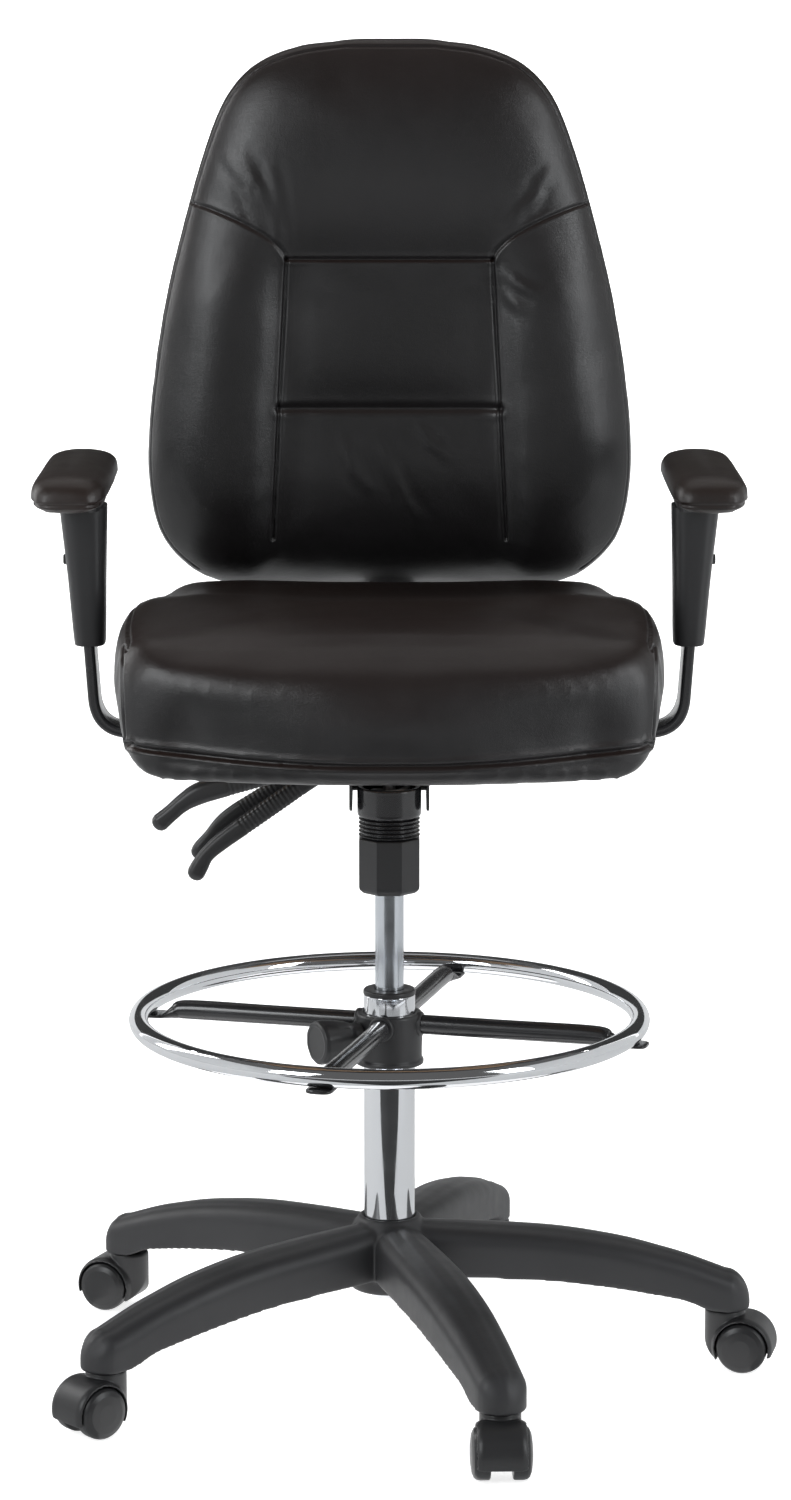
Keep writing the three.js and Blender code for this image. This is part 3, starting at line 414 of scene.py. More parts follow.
def flowing(stations, steps=6):
    """Rows run smoothly through a few stations (Catmull-Rom)."""
    rows = np.asarray(stations, float)
    padded = np.vstack([2 * rows[0] - rows[1], rows, 2 * rows[-1] - rows[-2]])
    made = []
    for i in range(1, len(padded) - 2):
        a, b, c, d = padded[i - 1:i + 3]
        for step in range(steps):
            t = step / steps
            made.append(0.5 * (2 * b + (c - a) * t + (2 * a - 5 * b + 4 * c - d) * t * t
                               + (3 * b - a - 3 * c + d) * t ** 3))
    made.append(rows[-1])
    return np.array(made)


def turned(name, profile, radius=1.0, sides=ROUND, ring=False, wave=None, place=True):
    """A body of revolution about Z from (radius, z) points. A wave gives a radius its ribs or flats."""
    outline = list(profile)
    if ring:
        outline = outline + [outline[0], outline[1]]
    line = eased(outline, radius)
    if ring:
        line = line[1:-1]
    angles = np.arange(sides) * 2 * math.pi / sides
    rings = []
    for r, z in line:
        radii = r * (1 + wave(angles, r)) if wave else np.full(sides, r)
        rings.append(np.stack([radii * np.cos(angles), radii * np.sin(angles), np.full(sides, z)], 1))
    return loft(name, rings, closed=ring, place=place)


def moved(made, matrix):
    made.data.transform(matrix)
    return made


def shift(x=0.0, y=0.0, z=0.0):
    return Matrix.Translation(Vector((x, y, z)) * MM)


def spin(angle):
    """A turn about the column."""
    centre = Matrix.Translation(Vector(COLUMN))
    return centre @ Matrix.Rotation(math.radians(angle), 4, "Z") @ centre.inverted()


def lying(made, x, y, z, side=1):
    """Lays a piece that was turned about Z along X, and puts it in its place."""
    turn = Matrix.Rotation(side * math.pi / 2, 4, "Y")
    return moved(made, Matrix.Translation(Vector(COLUMN)) @ shift(x, y, z) @ turn)


def oval(wide, high, sides=20, power=1.0):
    angles = (np.arange(sides) + 0.5) * 2 * math.pi / sides
    c, s = np.cos(angles), np.sin(angles)
    across = wide / 2 * np.sign(c) * np.abs(c) ** power
    up = high / 2 * np.sign(s) * np.abs(s) ** power
    return np.stack([across, up], 1)


def swept(name, path, sections, side, closed=False):
    """Sections (across, up) along a path, with one direction held across it."""
    path = np.asarray(path, float)
    side = np.array(side, float)
    rings = []
    for i, section in enumerate(sections):
        if closed:
            along = path[(i + 1) % len(path)] - path[i - 1]
        else:
            along = path[min(i + 1, len(path) - 1)] - path[max(i - 1, 0)]
        up = np.cross(along / np.linalg.norm(along), side)
        up /= np.linalg.norm(up)
        rings.append(path[i] + section[:, :1] * side + section[:, 1:] * up)
    return loft(name, rings, closed=closed)


def block(name, low, high):
    (x0, y0, z0), (x1, y1, z1) = low, high
    points = [(x, y, z) for x in (x0, x1) for y in (y0, y1) for z in (z0, z1)]
    faces = [(0, 1, 3, 2), (4, 6, 7, 5), (0, 4, 5, 1), (2, 3, 7, 6), (0, 2, 6, 4), (1, 5, 7, 3)]
    return new_object(name, points, faces)


def plate(name, outline, low, high, axis, place=True):
    """A flat outline, extruded along X, Y or Z. Its points are the two other axes, in order."""
    rings = []
    for level in (low, high):
        rings.append([np.insert(np.array(point, float), axis, level) for point in outline])
    return loft(name, rings, place=place)


def rod(name, start, end, radius, sides=32, place=True):
    start, end = Vector(start), Vector(end)
    turn = (end - start).to_track_quat("Z", "Y").to_matrix()
    angles = np.arange(sides) * 2 * math.pi / sides
    circle = np.stack([np.cos(angles), np.sin(angles), 0 * angles], 1) * radius @ np.array(turn).T
    return loft(name, [circle + np.array(start), circle + np.array(end)], place=place)


# ---- Materials ----------------------------------------------------------------------------------


class Finish:
    """A node material with a few short words for what the finishes share."""

    def __init__(self, name, colour, roughness, metallic=0.0):
        self.material = bpy.data.materials.new(name)
        self.material.use_nodes = True
        self.tree = self.material.node_tree
        self.shader = self.tree.nodes["Principled BSDF"]
        self.shader.inputs["Metallic"].default_value = metallic
        self.shader.inputs["Base Color"].default_value = (*colour, 1)
        self.shader.inputs["Roughness"].default_value = roughness
        self.place = self.node("ShaderNodeTexCoord").outputs["Object"]

    def node(self, kind, **settings):
        made = self.tree.nodes.new(kind)
        for name, value in settings.items():
            setattr(made, name, value)
        return made

    def link(self, source, target):
        self.tree.links.new(source, target)

    def noise(self, scale, detail=3.0, stretch=None):
        place = self.place
        if stretch:
            mapping = self.node("ShaderNodeMapping")
            mapping.inputs["Scale"].default_value = stretch
            self.link(place, mapping.inputs["Vector"])
            place = mapping.outputs["Vector"]
        made = self.node("ShaderNodeTexNoise")
        made.inputs["Scale"].default_value = scale
        made.inputs["Detail"].default_value = detail
        self.link(place, made.inputs["Vector"])
        return made.outputs["Fac"]

    def cells(self, scale):
        made = self.node("ShaderNodeTexVoronoi", feature="DISTANCE_TO_EDGE")
        made.inputs["Scale"].default_value = scale
        self.link(self.place, made.inputs["Vector"])
        return made.outputs["Distance"]

    def between(self, source, low, high, from_low=0.0, from_high=1.0):
        """The source's range from_low to from_high as low to high."""
        made = self.node("ShaderNodeMapRange")
        made.inputs["From Min"].default_value = from_low
        made.inputs["From Max"].default_value = from_high
        made.inputs["To Min"].default_value = low
        made.inputs["To Max"].default_value = high
        self.link(source, made.inputs["Value"])
        return made.outputs["Result"]

    def blended(self, share, first, second):
        """Two colours by a share. Each is a colour or a socket."""
        made = self.node("ShaderNodeMix", data_type="RGBA")
        self.link(share, made.inputs["Factor"])
        for value, socket in ((first, made.inputs[6]), (second, made.inputs[7])):
            if isinstance(value, tuple):
                socket.default_value = (*value, 1)
            else:
                self.link(value, socket)
        return made.outputs[2]

    def colour_from(self, socket):
        self.link(socket, self.shader.inputs["Base Color"])

    def roughness_from(self, socket):
        self.link(socket, self.shader.inputs["Roughness"])

    def bump(self, *layers):
        """Relief from (height socket, strength, depth in millimetres), the broadest first."""
        normal = None
        for height, strength, depth in layers:
            made = self.node("ShaderNodeBump")
            made.inputs["Strength"].default_value = strength
            made.inputs["Distance"].default_value = depth * MM
            self.link(height, made.inputs["Height"])
            if normal:
                self.link(normal, made.inputs["Normal"])
            normal = made.outputs["Normal"]
        self.link(normal, self.shader.inputs["Normal"])

    def facing_up(self):
        """0 to 1 as the surface turns from level or down to up."""
        geometry = self.node("ShaderNodeNewGeometry")
        split = self.node("ShaderNodeSeparateXYZ")
        self.link(geometry.outputs["Normal"], split.inputs["Vector"])
        return self.between(split.outputs["Z"], 0.0, 1.0, 0.05, 0.95)


# A dark leather whose up-facing tops are blended towards a lighter brown: a painted sheen from light above.
def leather_finish(name, dark, painted_top_sheen, roughness, grain=900.0):
    made = Finish(name, dark, roughness)
    shader = made.shader
    shader.inputs["Specular IOR Level"].default_value = 0.5
    shader.inputs["Coat Weight"].default_value = 0.12
    shader.inputs["Coat Roughness"].default_value = 0.28
    patches = made.between(made.noise(5.0, 4.0), 0.0, 1.0, 0.38, 0.66)
    mottled = made.blended(patches, dark, tuple(c * 1.7 for c in dark))
    # Painted sheen: where a surface faces up, the colour is pushed towards the lighter brown, patchily by
    # noise.
    share = made.node("ShaderNodeMath", operation="MULTIPLY")
    made.link(made.facing_up(), share.inputs[0])
    made.link(made.between(made.noise(3.0, 2.0), 0.45, 1.0, 0.3, 0.7), share.inputs[1])
    made.colour_from(made.blended(share.outputs[0], mottled, painted_top_sheen))
    made.roughness_from(made.between(made.noise(38.0, 5.0), roughness - 0.05, roughness + 0.07))
    soft = made.noise(16.0, 3.0)
    wrinkles = made.noise(120.0, 4.0, stretch=(1.0, 1.0, 2.2))
    speckle = made.noise(420.0, 3.0)
    pebbles = made.between(made.cells(grain), 0.0, 1.0, 0.0, 0.35)
    made.bump((soft, 0.3, 2.4), (wrinkles, 0.3, 0.35), (speckle, 0.4, 0.3), (pebbles, 0.4, 0.16))
    return made.material


def nylon_finish():
    made = Finish("nylon_matte", (0.022, 0.022, 0.024), 0.5)
    made.colour_from(made.blended(made.noise(9.0, 4.0), (0.018, 0.018, 0.020), (0.034, 0.034, 0.036)))
    made.roughness_from(made.between(made.noise(60.0, 4.0), 0.42, 0.58))
    made.bump((made.noise(1400.0, 2.0), 0.35, 0.10))
    return made.material


def plastic_finish(name, colour, roughness, grain=1800.0):
    made = Finish(name, colour, roughness)
    made.colour_from(made.blended(made.noise(14.0), colour, tuple(c * 1.5 for c in colour)))
    made.roughness_from(made.between(made.noise(80.0, 4.0), roughness - 0.06, roughness + 0.08))
    made.bump((made.noise(grain, 2.0), 0.25, 0.06))
    return made.material


def chrome_finish(name, colour, smoothest, roughest):
    made = Finish(name, colour, smoothest, 1.0)
    made.roughness_from(made.between(made.noise(45.0, 5.0), smoothest, roughest, 0.35, 0.75))
    made.bump((made.noise(6.0, 1.0), 0.05, 0.3))
    return made.material


def steel_finish():
    made = Finish("steel_zinc", (0.50, 0.51, 0.53), 0.32, 1.0)
    made.colour_from(made.blended(made.noise(30.0), (0.42, 0.43, 0.45), (0.58, 0.59, 0.60)))
    made.roughness_from(made.between(made.noise(220.0, 4.0), 0.24, 0.44))
    made.bump((made.noise(400.0, 2.0, stretch=(1.0, 1.0, 12.0)), 0.2, 0.04))
    return made.material


def paint_finish():
    made = Finish("black_gloss_paint", (0.012, 0.012, 0.013), 0.22)
    made.shader.inputs["Coat Weight"].default_value = 0.5
    made.shader.inputs["Coat Roughness"].default_value = 0.12
    made.colour_from(made.blended(made.noise(20.0), (0.010, 0.010, 0.011), (0.022, 0.022, 0.024)))
    made.roughness_from(made.between(made.noise(70.0, 4.0), 0.18, 0.32))
    made.bump((made.noise(260.0, 2.0), 0.15, 0.08))
    return made.material


def plywood_finish():
    made = Finish("plywood", (0.16, 0.10, 0.055), 0.65)
    grain = made.noise(30.0, 6.0, stretch=(12.0, 1.0, 1.0))
    made.colour_from(made.blended(grain, (0.11, 0.065, 0.034), (0.22, 0.14, 0.08)))
    made.roughness_from(made.between(grain, 0.55, 0.75))
    made.bump((grain, 0.3, 0.2))
    return made.material


FINISH = {
    # The third colour of each leather is a painted sheen, laid on its up-facing tops.
    "leather": leather_finish("leather", (0.0085, 0.0080, 0.0085), (0.026, 0.0145, 0.0115), 0.31),
    "arm_pad_skin": leather_finish("arm_pad_skin", (0.014, 0.010, 0.009), (0.026, 0.015, 0.011), 0.36,
                                   1100.0),
    "black_nylon": nylon_finish(),
    "black_plastic": plastic_finish("moulded_plastic", (0.017, 0.017, 0.018), 0.38),
    "wheel_plastic": plastic_finish("wheel_plastic", (0.014, 0.014, 0.015), 0.34, 1200.0),
    "chrome": chrome_finish("chrome_plate", (0.80, 0.81, 0.83), 0.035, 0.11),
    "satin_chrome": chrome_finish("satin_chrome", (0.66, 0.69, 0.73), 0.17, 0.24),
    "steel": steel_finish(),
    "black_paint": paint_finish(),
    "plywood": plywood_finish(),
}


def finished(made, body, slot, *nodes, finish=None):
    """Gives a piece its finish, its body and the CAD nodes that it stands for."""
    made.data.materials.clear()
    made.data.materials.append(FINISH[finish or slot])
    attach(made, body)
    if nodes:
        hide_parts(*nodes)
    return made


# ---- Base ---------------------------------------------------------------------------------------

# Along an arm: distance from the column, top, underside, half width, height of the pocket below.
ARM_STATIONS = [
    (26, 150, 98, 25, 0), (50, 149, 98, 27, 26), (109, 146, 97, 29, 30), (168, 141.5, 94, 29.5, 28),
    (227, 132, 86, 28.5, 26), (270, 121, 78, 26.8, 20), (292, 114.5, 73, 25.8, 0),
    (314, 106.5, 63.5, 25, 0), (331, 100, 61, 24.5, 0),
]


def arm_section(distance, top, bottom, half, pocket):
    """An arm's outline across its length: a rounded back, thin walls and a rib under it."""
    shoulder = min(SHOULDER, half * 0.95, (top - bottom) * 0.62)
    crown = min(2.0, half * 0.1)
    points = [(half, bottom)]
    for step in range(9):
        angle = math.pi / 2 * step / 8
        across, up = math.cos(angle), math.sin(angle)
        points.append((half - shoulder + shoulder * across, top - shoulder - crown + shoulder * up))
    points.append((half * 0.2, top))
    left = [(-y, z) for y, z in reversed(points)]
    roof = bottom + pocket
    inner = max(half - ARM_WALL, RIB_HALF + 0.5)
    under = [(-inner, bottom), (-inner, roof), (-RIB_HALF, roof), (-RIB_HALF, bottom),
             (RIB_HALF, bottom), (RIB_HALF, roof), (inner, roof), (inner, bottom)]
    return [(distance, y, z) for y, z in points + left + under]


def base_arm(index):
    stations = flowing(ARM_STATIONS, 5)
    stations[:, 4] = np.clip(stations[:, 4], 0, None)
    rings = [arm_section(*row) for row in stations]
    _, top, bottom, _, _ = ARM_STATIONS[-1]
    for angle in np.radians([15, 30, 45, 58, 70, 79, 86]):
        fall = TIP_DROP * (1 - math.cos(angle))
        distance = SOCKET_RADIUS + SOCKET_HALF * math.sin(angle)
        rings.append(arm_section(distance, top - fall, bottom, SOCKET_HALF * math.cos(angle), 0))
    arm = loft(f"arm_{index}", rings)
    return moved(arm, spin(360 / ARM_COUNT * index))


def make_base():
    hub = turned("hub", [
        (25.3, 82), (37, 82), (39, 85), (41, 112), (41, 136), (34, 149), (31.5, 152), (30, 156),
        (25.3, 156),
    ], 2.5, ring=True)
    arms = [base_arm(i) for i in range(ARM_COUNT)]
    base = remeshed(united("base_star_cast", [hub, *arms]), 1.7, 7)
    finished(base, "base", "black_nylon", "base_star")


# ---- Casters ------------------------------------------------------------------------------------


def axle_arc(radius, start, end, steps=30):
    """Points round the axle, seen along it."""
    angles = np.radians(np.linspace(start, end, steps + 1))
    return [(TRAIL + radius * math.cos(a), WHEEL_RADIUS + radius * math.sin(a)) for a in angles]


def cover_barrel():
    """The rounded shape that the cover has over the wheels."""
    half = [(0, COVER_HALF), (26.9, COVER_HALF), (28.2, 22.4), (29.6, 19.5), (30.4, 15), (30.7, 8)]
    profile = [(radius, -reach) for radius, reach in half] + half[::-1]
    barrel = turned("barrel", profile, 0.5, 64, place=False)
    return moved(barrel, shift(TRAIL, 0, WHEEL_RADIUS) @ Matrix.Rotation(math.pi / 2, 4, "X"))


def caster_hood():
    """A cover over the two wheels, with a web on the axle and a boss for the stem."""
    corners = [(14.8, 54.5), (-BOSS_RADIUS, 54.5), (-BOSS_RADIUS, 27), (-12.5, 16.5), (-5.4, 11.6)]
    neck = [tuple(point) for point in eased(corners, 9, 8)[1:]]
    sides = axle_arc(COVER_OUTER, COVER_LIP, 100) + neck + axle_arc(COVER_INNER, 207, COVER_LIP)
    parts = []
    reach = COVER_HALF + 0.5
    for shape in (cover_barrel(), rod("neck", (0, 0, 0), (0, 0, 58), BOSS_RADIUS, 64, place=False)):
        parts.append(common(plate("cover", sides, -reach, reach, 1, place=False), shape))
    web = axle_arc(WEB_RADIUS, COVER_LIP, 200) + axle_arc(2.4, 200, COVER_LIP)
    parts.append(plate("web", web, -WEB_HALF, WEB_HALF, 1, place=False))
    boss = [(0, 45), (BOSS_RADIUS, 45), (BOSS_RADIUS, 58.5), (BOSS_RADIUS - 1.5, 60.4), (0, 60.4)]
    parts.append(turned("boss", boss, 1.0, 48, place=False))
    return remeshed(united("caster_hood_shape", parts), 0.9, 5).data


def caster_wheel(side):
    """One wheel: a plain tread and a domed face. The left one carries the axle."""
    profile = [
        (0, 10.4), (23.6, 10.4), (24.9, 11.6), (WHEEL_RADIUS, 13.5), (WHEEL_RADIUS, 20), (24.4, 23.2),
        (22.6, 25.6), (18, 27.6), (10, 28.7), (0, 29),
    ]
    wheel = turned(f"caster_wheel_shape_{side}", profile, 0.5, 72, place=False)
    turn = Matrix.Rotation(math.radians(-90 * side), 4, "X")
    parts = [moved(wheel, shift(TRAIL, 0, WHEEL_RADIUS) @ turn)]
    if side > 0:
        ends = [(TRAIL, y, WHEEL_RADIUS) for y in (-AXLE_HALF, AXLE_HALF)]
        parts.append(rod("axle", *ends, AXLE_RADIUS, 24, place=False))
    made = united(f"caster_wheel_shape_{side}", parts)
    smooth(made.data, 45)
    return made.data


def caster_copy(name, mesh, matrix, body, slot, node):
    made = placed_object(name, mesh)
    made.matrix_world = matrix
    return finished(made, body, slot, node)


def make_casters():
    shapes = [caster_hood(), caster_wheel(1), caster_wheel(-1)]
    for stray in [o for o in bpy.data.objects if o.name.startswith("caster_") and "shape" in o.name]:
        bpy.data.objects.remove(stray)
    for i in range(ARM_COUNT):
        number = i + 1
        heading = math.radians(360 / ARM_COUNT * i)
        socket = Vector((SOCKET_RADIUS * math.cos(heading), SOCKET_RADIUS * math.sin(heading), 0)) * MM
        turn = Matrix.Rotation(math.radians(TRAIL_HEADINGS[i]), 4, "Z")
        matrix = Matrix.Translation(Vector(COLUMN) + socket) @ turn
        rows = [
            ("caster_cover", shapes[0], f"caster_{number}", "black_plastic", "caster_hood"),
            ("caster_tyre_left", shapes[1], f"wheel_left_{number}", "wheel_plastic", "caster_wheel_left"),
            ("caster_tyre_right", shapes[2], f"wheel_right_{number}", "wheel_plastic", "caster_wheel_right"),
        ]
        for name, mesh, body, slot, node in rows:
            caster_copy(f"{name}_{number}", mesh, matrix, body, slot, f"{node}_{number}")


# ---- Column -------------------------------------------------------------------------------------


def make_column():
    tube = turned("chrome_tube", [
        (6.4, 83), (24.4, 83), (25, 90), (25, 377.7), (23.2, 377.7), (23.2, 86), (6.4, 86),
    ], 0.7, ring=True)
    finished(tube, "base", "chrome", "outer_tube")
    foot = turned("tube_foot_button", [
        (0, 72), (16.5, 72), (18.5, 74), (18.5, 82.7), (0, 82.7),
    ], 1.2)
    finished(foot, "base", "chrome", "tube_foot_cap")
    rim = turned("tube_rim_bush", [
        (14.5, 285), (22.8, 285), (22.8, 378), (25.6, 378), (25.6, 381.6), (24.4, 383), (14.5, 383),
    ], 0.6, ring=True)
    finished(rim, "base", "black_plastic", "tube_bushing")
    cylinder = turned("gas_strut", [
        (0, 500), (5.6, 497), (5.6, 225), (13, 225), (14, 226), (14, 560), (13.2, 602), (4, 602),
        (4, 580), (0, 580),
    ], 0.6)
    finished(cylinder, "column", "chrome", "gas_cylinder", finish="satin_chrome")


# ---- Foot ring ----------------------------------------------------------------------------------

# Out along a spoke: x, y, z, width, height, and how round the section is.
SPOKE_STATIONS = [
    (33.4, 0, SPOKE_Z, 19, 19, 1.0), (120, 0, SPOKE_Z, 19, 19, 1.0), (204, 0, SPOKE_Z, 19, 19, 1.0),
    (218, 0, SPOKE_Z - 2.4, 20.5, 14, 0.9), (229, 0, SPOKE_FLAT_Z + 0.3, 24, 5.6, 0.75),
    (235, 0, SPOKE_FLAT_Z, 26, 4.6, 0.6), (250, 0, SPOKE_FLAT_Z, 26, 4.6, 0.6),
]
SPOKE_TIP = 7.5  # length of a spoke's rounded end


def make_ring():
    tube = np.arange(32) * 2 * math.pi / 32
    reach, rise = RING_RADIUS + RING_TUBE * np.cos(tube), RING_Z + RING_TUBE * np.sin(tube)
    rings = []
    for angle in np.arange(224) * 2 * math.pi / 224:
        rings.append(np.stack([reach * math.cos(angle), reach * math.sin(angle), rise], 1))
    finished(loft("foot_ring_tube", rings, closed=True), "foot_rest", "chrome", "foot_ring")


def make_ring_hub():
    parts = [turned("ring_hub_body", [
        (25.6, 309), (33.3, 309), (33.5, 312.6), (31.8, 315), (31.8, 324), (32.4, 338), (32.5, 354),
        (32.3, 358), (31, 360), (25.6, 360),
    ], 1.0, ring=True)]
    collar = [(0, 0), (12.4, 0), (12.4, 3.6), (11.2, 4.8), (0, 4.8)]
    for angle in SPOKE_ANGLES:
        made = turned("spoke_collar", collar, 0.7, 48, place=False)
        parts.append(moved(lying(made, 28.6, 0, SPOKE_Z), spin(angle)))
    boss = [(5.6, 0), (11, 0), (11, 5.4), (10.4, 6), (5.6, 6)]
    made = turned("clamp_boss", boss, 0.6, 48, ring=True, place=False)
    parts.append(moved(lying(made, 27.8, 0, CLAMP_Z), spin(CLAMP_HEADING)))
    hub = united("ring_hub_body", parts)
    smooth(hub.data, 40)
    finished(hub, "foot_rest", "black_plastic", "ring_hub")


def make_spokes():
    rows = flowing(SPOKE_STATIONS, 8)
    path = list(rows[:, :3])
    sections = [oval(wide, high, 36, power) for _, _, _, wide, high, power in rows]
    end, _, _, wide, high, power = SPOKE_STATIONS[-1]
    for turn in np.radians([35, 60, 78, 88]):
        path.append(np.array([end + SPOKE_TIP * math.sin(turn), 0, SPOKE_FLAT_Z]))
        thin = high * max(math.cos(turn) ** 0.4, 0.55)
        sections.append(oval(wide * (0.5 + 0.5 * math.cos(turn)), thin, 36, power))
    for i, angle in enumerate(SPOKE_ANGLES):
        spoke = moved(swept(f"spoke_tube_{i + 1}", path, sections, (0, 1, 0)), spin(angle))
        smooth(spoke.data, 45)
        finished(spoke, "foot_rest", "black_paint", f"ring_spoke_{i + 1}")


def make_clamp_knob():
    def grip(angles, radius):
        return np.where(radius > 17.5, 0.012 * np.cos(10 * angles), 0)

    knob = turned("clamp_knob_body", [
        (0, 26.2), (5, 26.2), (5, 34.5), (14.5, 34.5), (15, 36), (15, 44), (17.6, 50), (20.5, 64),
        (21.8, 77), (20.6, 81), (17, 82), (15.5, 81.2), (0, 81.0),
    ], 1.2, 120, wave=grip, place=False)
    moved(lying(knob, 0, 0, CLAMP_Z), spin(CLAMP_HEADING))
    finished(knob, "ring_clamp", "black_plastic", "ring_clamp_knob")


# ---- Tilt mechanism -----------------------------------------------------------------------------

WALL_OUTLINE = [(-100, 577), (110, 577), (110, 610), (-12, 631), (-72, 631), (-100, 624)]
# Each lever: its place along Y, the height of its window in the wall, and its run as
# (x, z, width, thickness).
LEVERS = {
    "height": (0, (598, 621), [
        (3, 610.8, 9, 6.6), (-20, 611, 11, 7), (-38, 609, 12, 8), (-66, 605, 18, 13), (-120, 594, 23, 19),
        (-169, 581, 24, 20.5), (-186, 575.5, 24, 20.5), (-200, 567, 22, 17), (-211, 557.5, 21, 16),
        (-222, 548, 20, 17.5),
    ]),
    "back": (34, (588, 618), [
        (-22, 604, 10, 7), (-38, 602, 12, 8), (-58, 593, 15, 13), (-80, 581.5, 18, 17),
        (-101.6, 566.7, 18, 18), (-138, 541, 18, 18), (-163, 523, 18, 17), (-178, 509.5, 17, 15),
        (-185, 498.5, 18, 17), (-189, 491, 18, 17.5),
    ]),
    "tilt": (64, (586, 612), [
        (-22, 600, 10, 7), (-38, 599, 12, 8), (-70, 592, 15, 14), (-100, 577, 18, 17.5), (-125, 561, 18, 18),
        (-150, 545, 18, 18), (-164, 534, 18, 17), (-175.5, 520.5, 17, 15.5), (-184, 510.5, 18, 16.5),
        (-187.5, 506, 17, 16),
    ]),
}


def make_walls():
    """The housing's side walls. The levers come out through windows in one of them."""
    outline = eased(WALL_OUTLINE + WALL_OUTLINE[:2], 8)[1:-1]
    windows = []
    for y, (low, high), _ in LEVERS.values():
        start, end = (-WALL_X - 5, y - WINDOW_HALF, low), (-WALL_X + 5, y + WINDOW_HALF, high)
        windows.append(block("window", start, end))
    lever_wall = carved(plate("wall", outline, -WALL_X, WALL_THICK - WALL_X, 0), *windows)
    return [lever_wall, plate("wall", outline, WALL_X - WALL_THICK, WALL_X, 0)]


def make_housing():
    spine = block("spine", (-26, -62, FLOOR_BOTTOM), (26, 12.5, FLOOR_TOP))
    floor = block("floor", (-WALL_X, 12, FLOOR_BOTTOM), (WALL_X, 110, FLOOR_TOP))
    rear = block("rear", (-WALL_X, 106.8, FLOOR_BOTTOM), (WALL_X, 110, 606))
    cup = turned("cup", [
        (6.5, 571.5), (29.2, 571.5), (30.4, 573.2), (30.4, 600), (24.5, 600), (24.5, 574.5), (6.5, 574.5),
    ], 0.8, ring=True)
    moved(cup, shift(0, TENSION_Y))
    socket = turned("socket", [(14.6, 578), (20, 578), (20, 599), (14.6, 599)], 0.8, ring=True)
    spine = carved(
        spine,
        rod("cup_hole", (0, TENSION_Y, 560), (0, TENSION_Y, 600), 27, 64),
        rod("socket_hole", (0, 0, 560), (0, 0, 600), 16, 64),
    )
    housing = remeshed(united("mechanism_case", [*make_walls(), spine, floor, rear, cup, socket]), 1.0, 4)
    finished(housing, "column", "black_paint", "mechanism_housing")


def make_collar():
    ridges = [(7, 551.4), (26.0, 551.4)]
    for ridge in range(5):
        z = 551.9 + 3.9 * ridge
        ridges += [(26.1, z), (29.2, z + 1.3), (29.2, z + 1.8), (26.1, z + 3.1)]
    ridges += [(26.0, 571.2), (7, 571.2)]
    collar = moved(turned("tension_thread", ridges, 0.35, ring=True), shift(0, TENSION_Y))
    finished(collar, "column", "black_paint", "tension_collar")


def make_tension_knob():
    def flats(angles, radius):
        nearest = (angles + math.pi / 8) % (math.pi / 4) - math.pi / 8
        facet = math.cos(math.pi / 8) / np.cos(nearest)
        return np.where(radius > 22, np.minimum(facet * 1.03, 1.03) - 1.0, 0.0)

    knob = turned("tension_handle", [
        (6.6, 507), (6.6, 551), (29.6, 551), (30.2, 549.6), (30.2, 504), (29.4, 501.5), (25.5, 498),
        (0, 498), (0, 507),
    ], 0.9, 192, wave=flats)
    finished(moved(knob, shift(0, TENSION_Y)), "tension", "black_plastic", "tension_knob")


def make_coil():
    turns, per_turn = 5, 36
    angles = np.arange(turns * per_turn + 1) * 2 * math.pi / per_turn
    rise = np.linspace(578, 630.5, len(angles))
    section = oval(COIL_WIRE, COIL_WIRE, 12)
    rings = []
    for angle, z in zip(angles, rise):
        out = np.array([math.cos(angle), math.sin(angle), 0])
        centre = COIL_RADIUS * out + (0, TENSION_Y, z)
        rings.append(centre + section[:, :1] * out + section[:, 1:] * np.array([0, 0, 1]))
    finished(loft("tension_coil", rings), "column", "steel", "tension_spring")


def make_levers():
    for name, (y, _, stations) in LEVERS.items():
        rows = resampled(flowing(stations, 10), 1.15)
        path = [np.array([x, y, z]) for x, z, _, _ in rows]
        sections = []
        start, end = LEVER_RIBS
        for i, (_, _, wide, high) in enumerate(rows):
            ribbed = RIB_DEPTH * (i % 4 < 2) if start < i / len(rows) < end else 0.0
            sections.append(oval(wide - ribbed, high - ribbed, 28, 0.66))
        tip, before = path[-1], path[-4]
        along = (tip - before) / np.linalg.norm(tip - before)
        wide, high = rows[-1][2:]
        for turn in np.radians([30, 55, 75, 87]):
            path.append(tip + along * 7.5 * math.sin(turn))
            sections.append(oval(wide * math.cos(turn), high * math.cos(turn), 28, 0.8))
        lever = swept(f"{name}_paddle", path, sections, (0, 1, 0))
        finished(lever, f"{name}_lever", "black_plastic", f"lever_{name}")


# ---- Cushions -----------------------------------------------------------------------------------


def resampled(line, spacing):
    """The same line with a point every few millimetres."""
    line = np.asarray(line, float)
    lengths = np.concatenate([[0], np.cumsum(np.linalg.norm(np.diff(line[:, :3], axis=0), axis=1))])
    count = max(2, int(lengths[-1] / spacing) + 1)
    marks = np.linspace(0, lengths[-1], count)
    return np.stack([np.interp(marks, lengths, column) for column in line.T], 1)


def laid_on(made, line, spacing=2.0):
    """A millimetre line laid on a surface, in metres: straight back from the front where it can be."""
    work = bmesh.new()
    work.from_mesh(made.data)
    tree = BVHTree.FromBMesh(work)
    points = resampled(line, spacing) * MM + COLUMN
    laid = []
    for point in points:
        near = tree.find_nearest(Vector(point))[0]
        ahead = tree.ray_cast(Vector((point[0], point[1] - 0.06, point[2])), Vector((0, 1, 0)), 0.12)[0]
        if ahead is not None and (ahead - Vector(point)).length < 2.5 * (near - Vector(point)).length + 0.004:
            near = ahead
        laid.append(list(near))
    work.free()
    return np.array(laid)


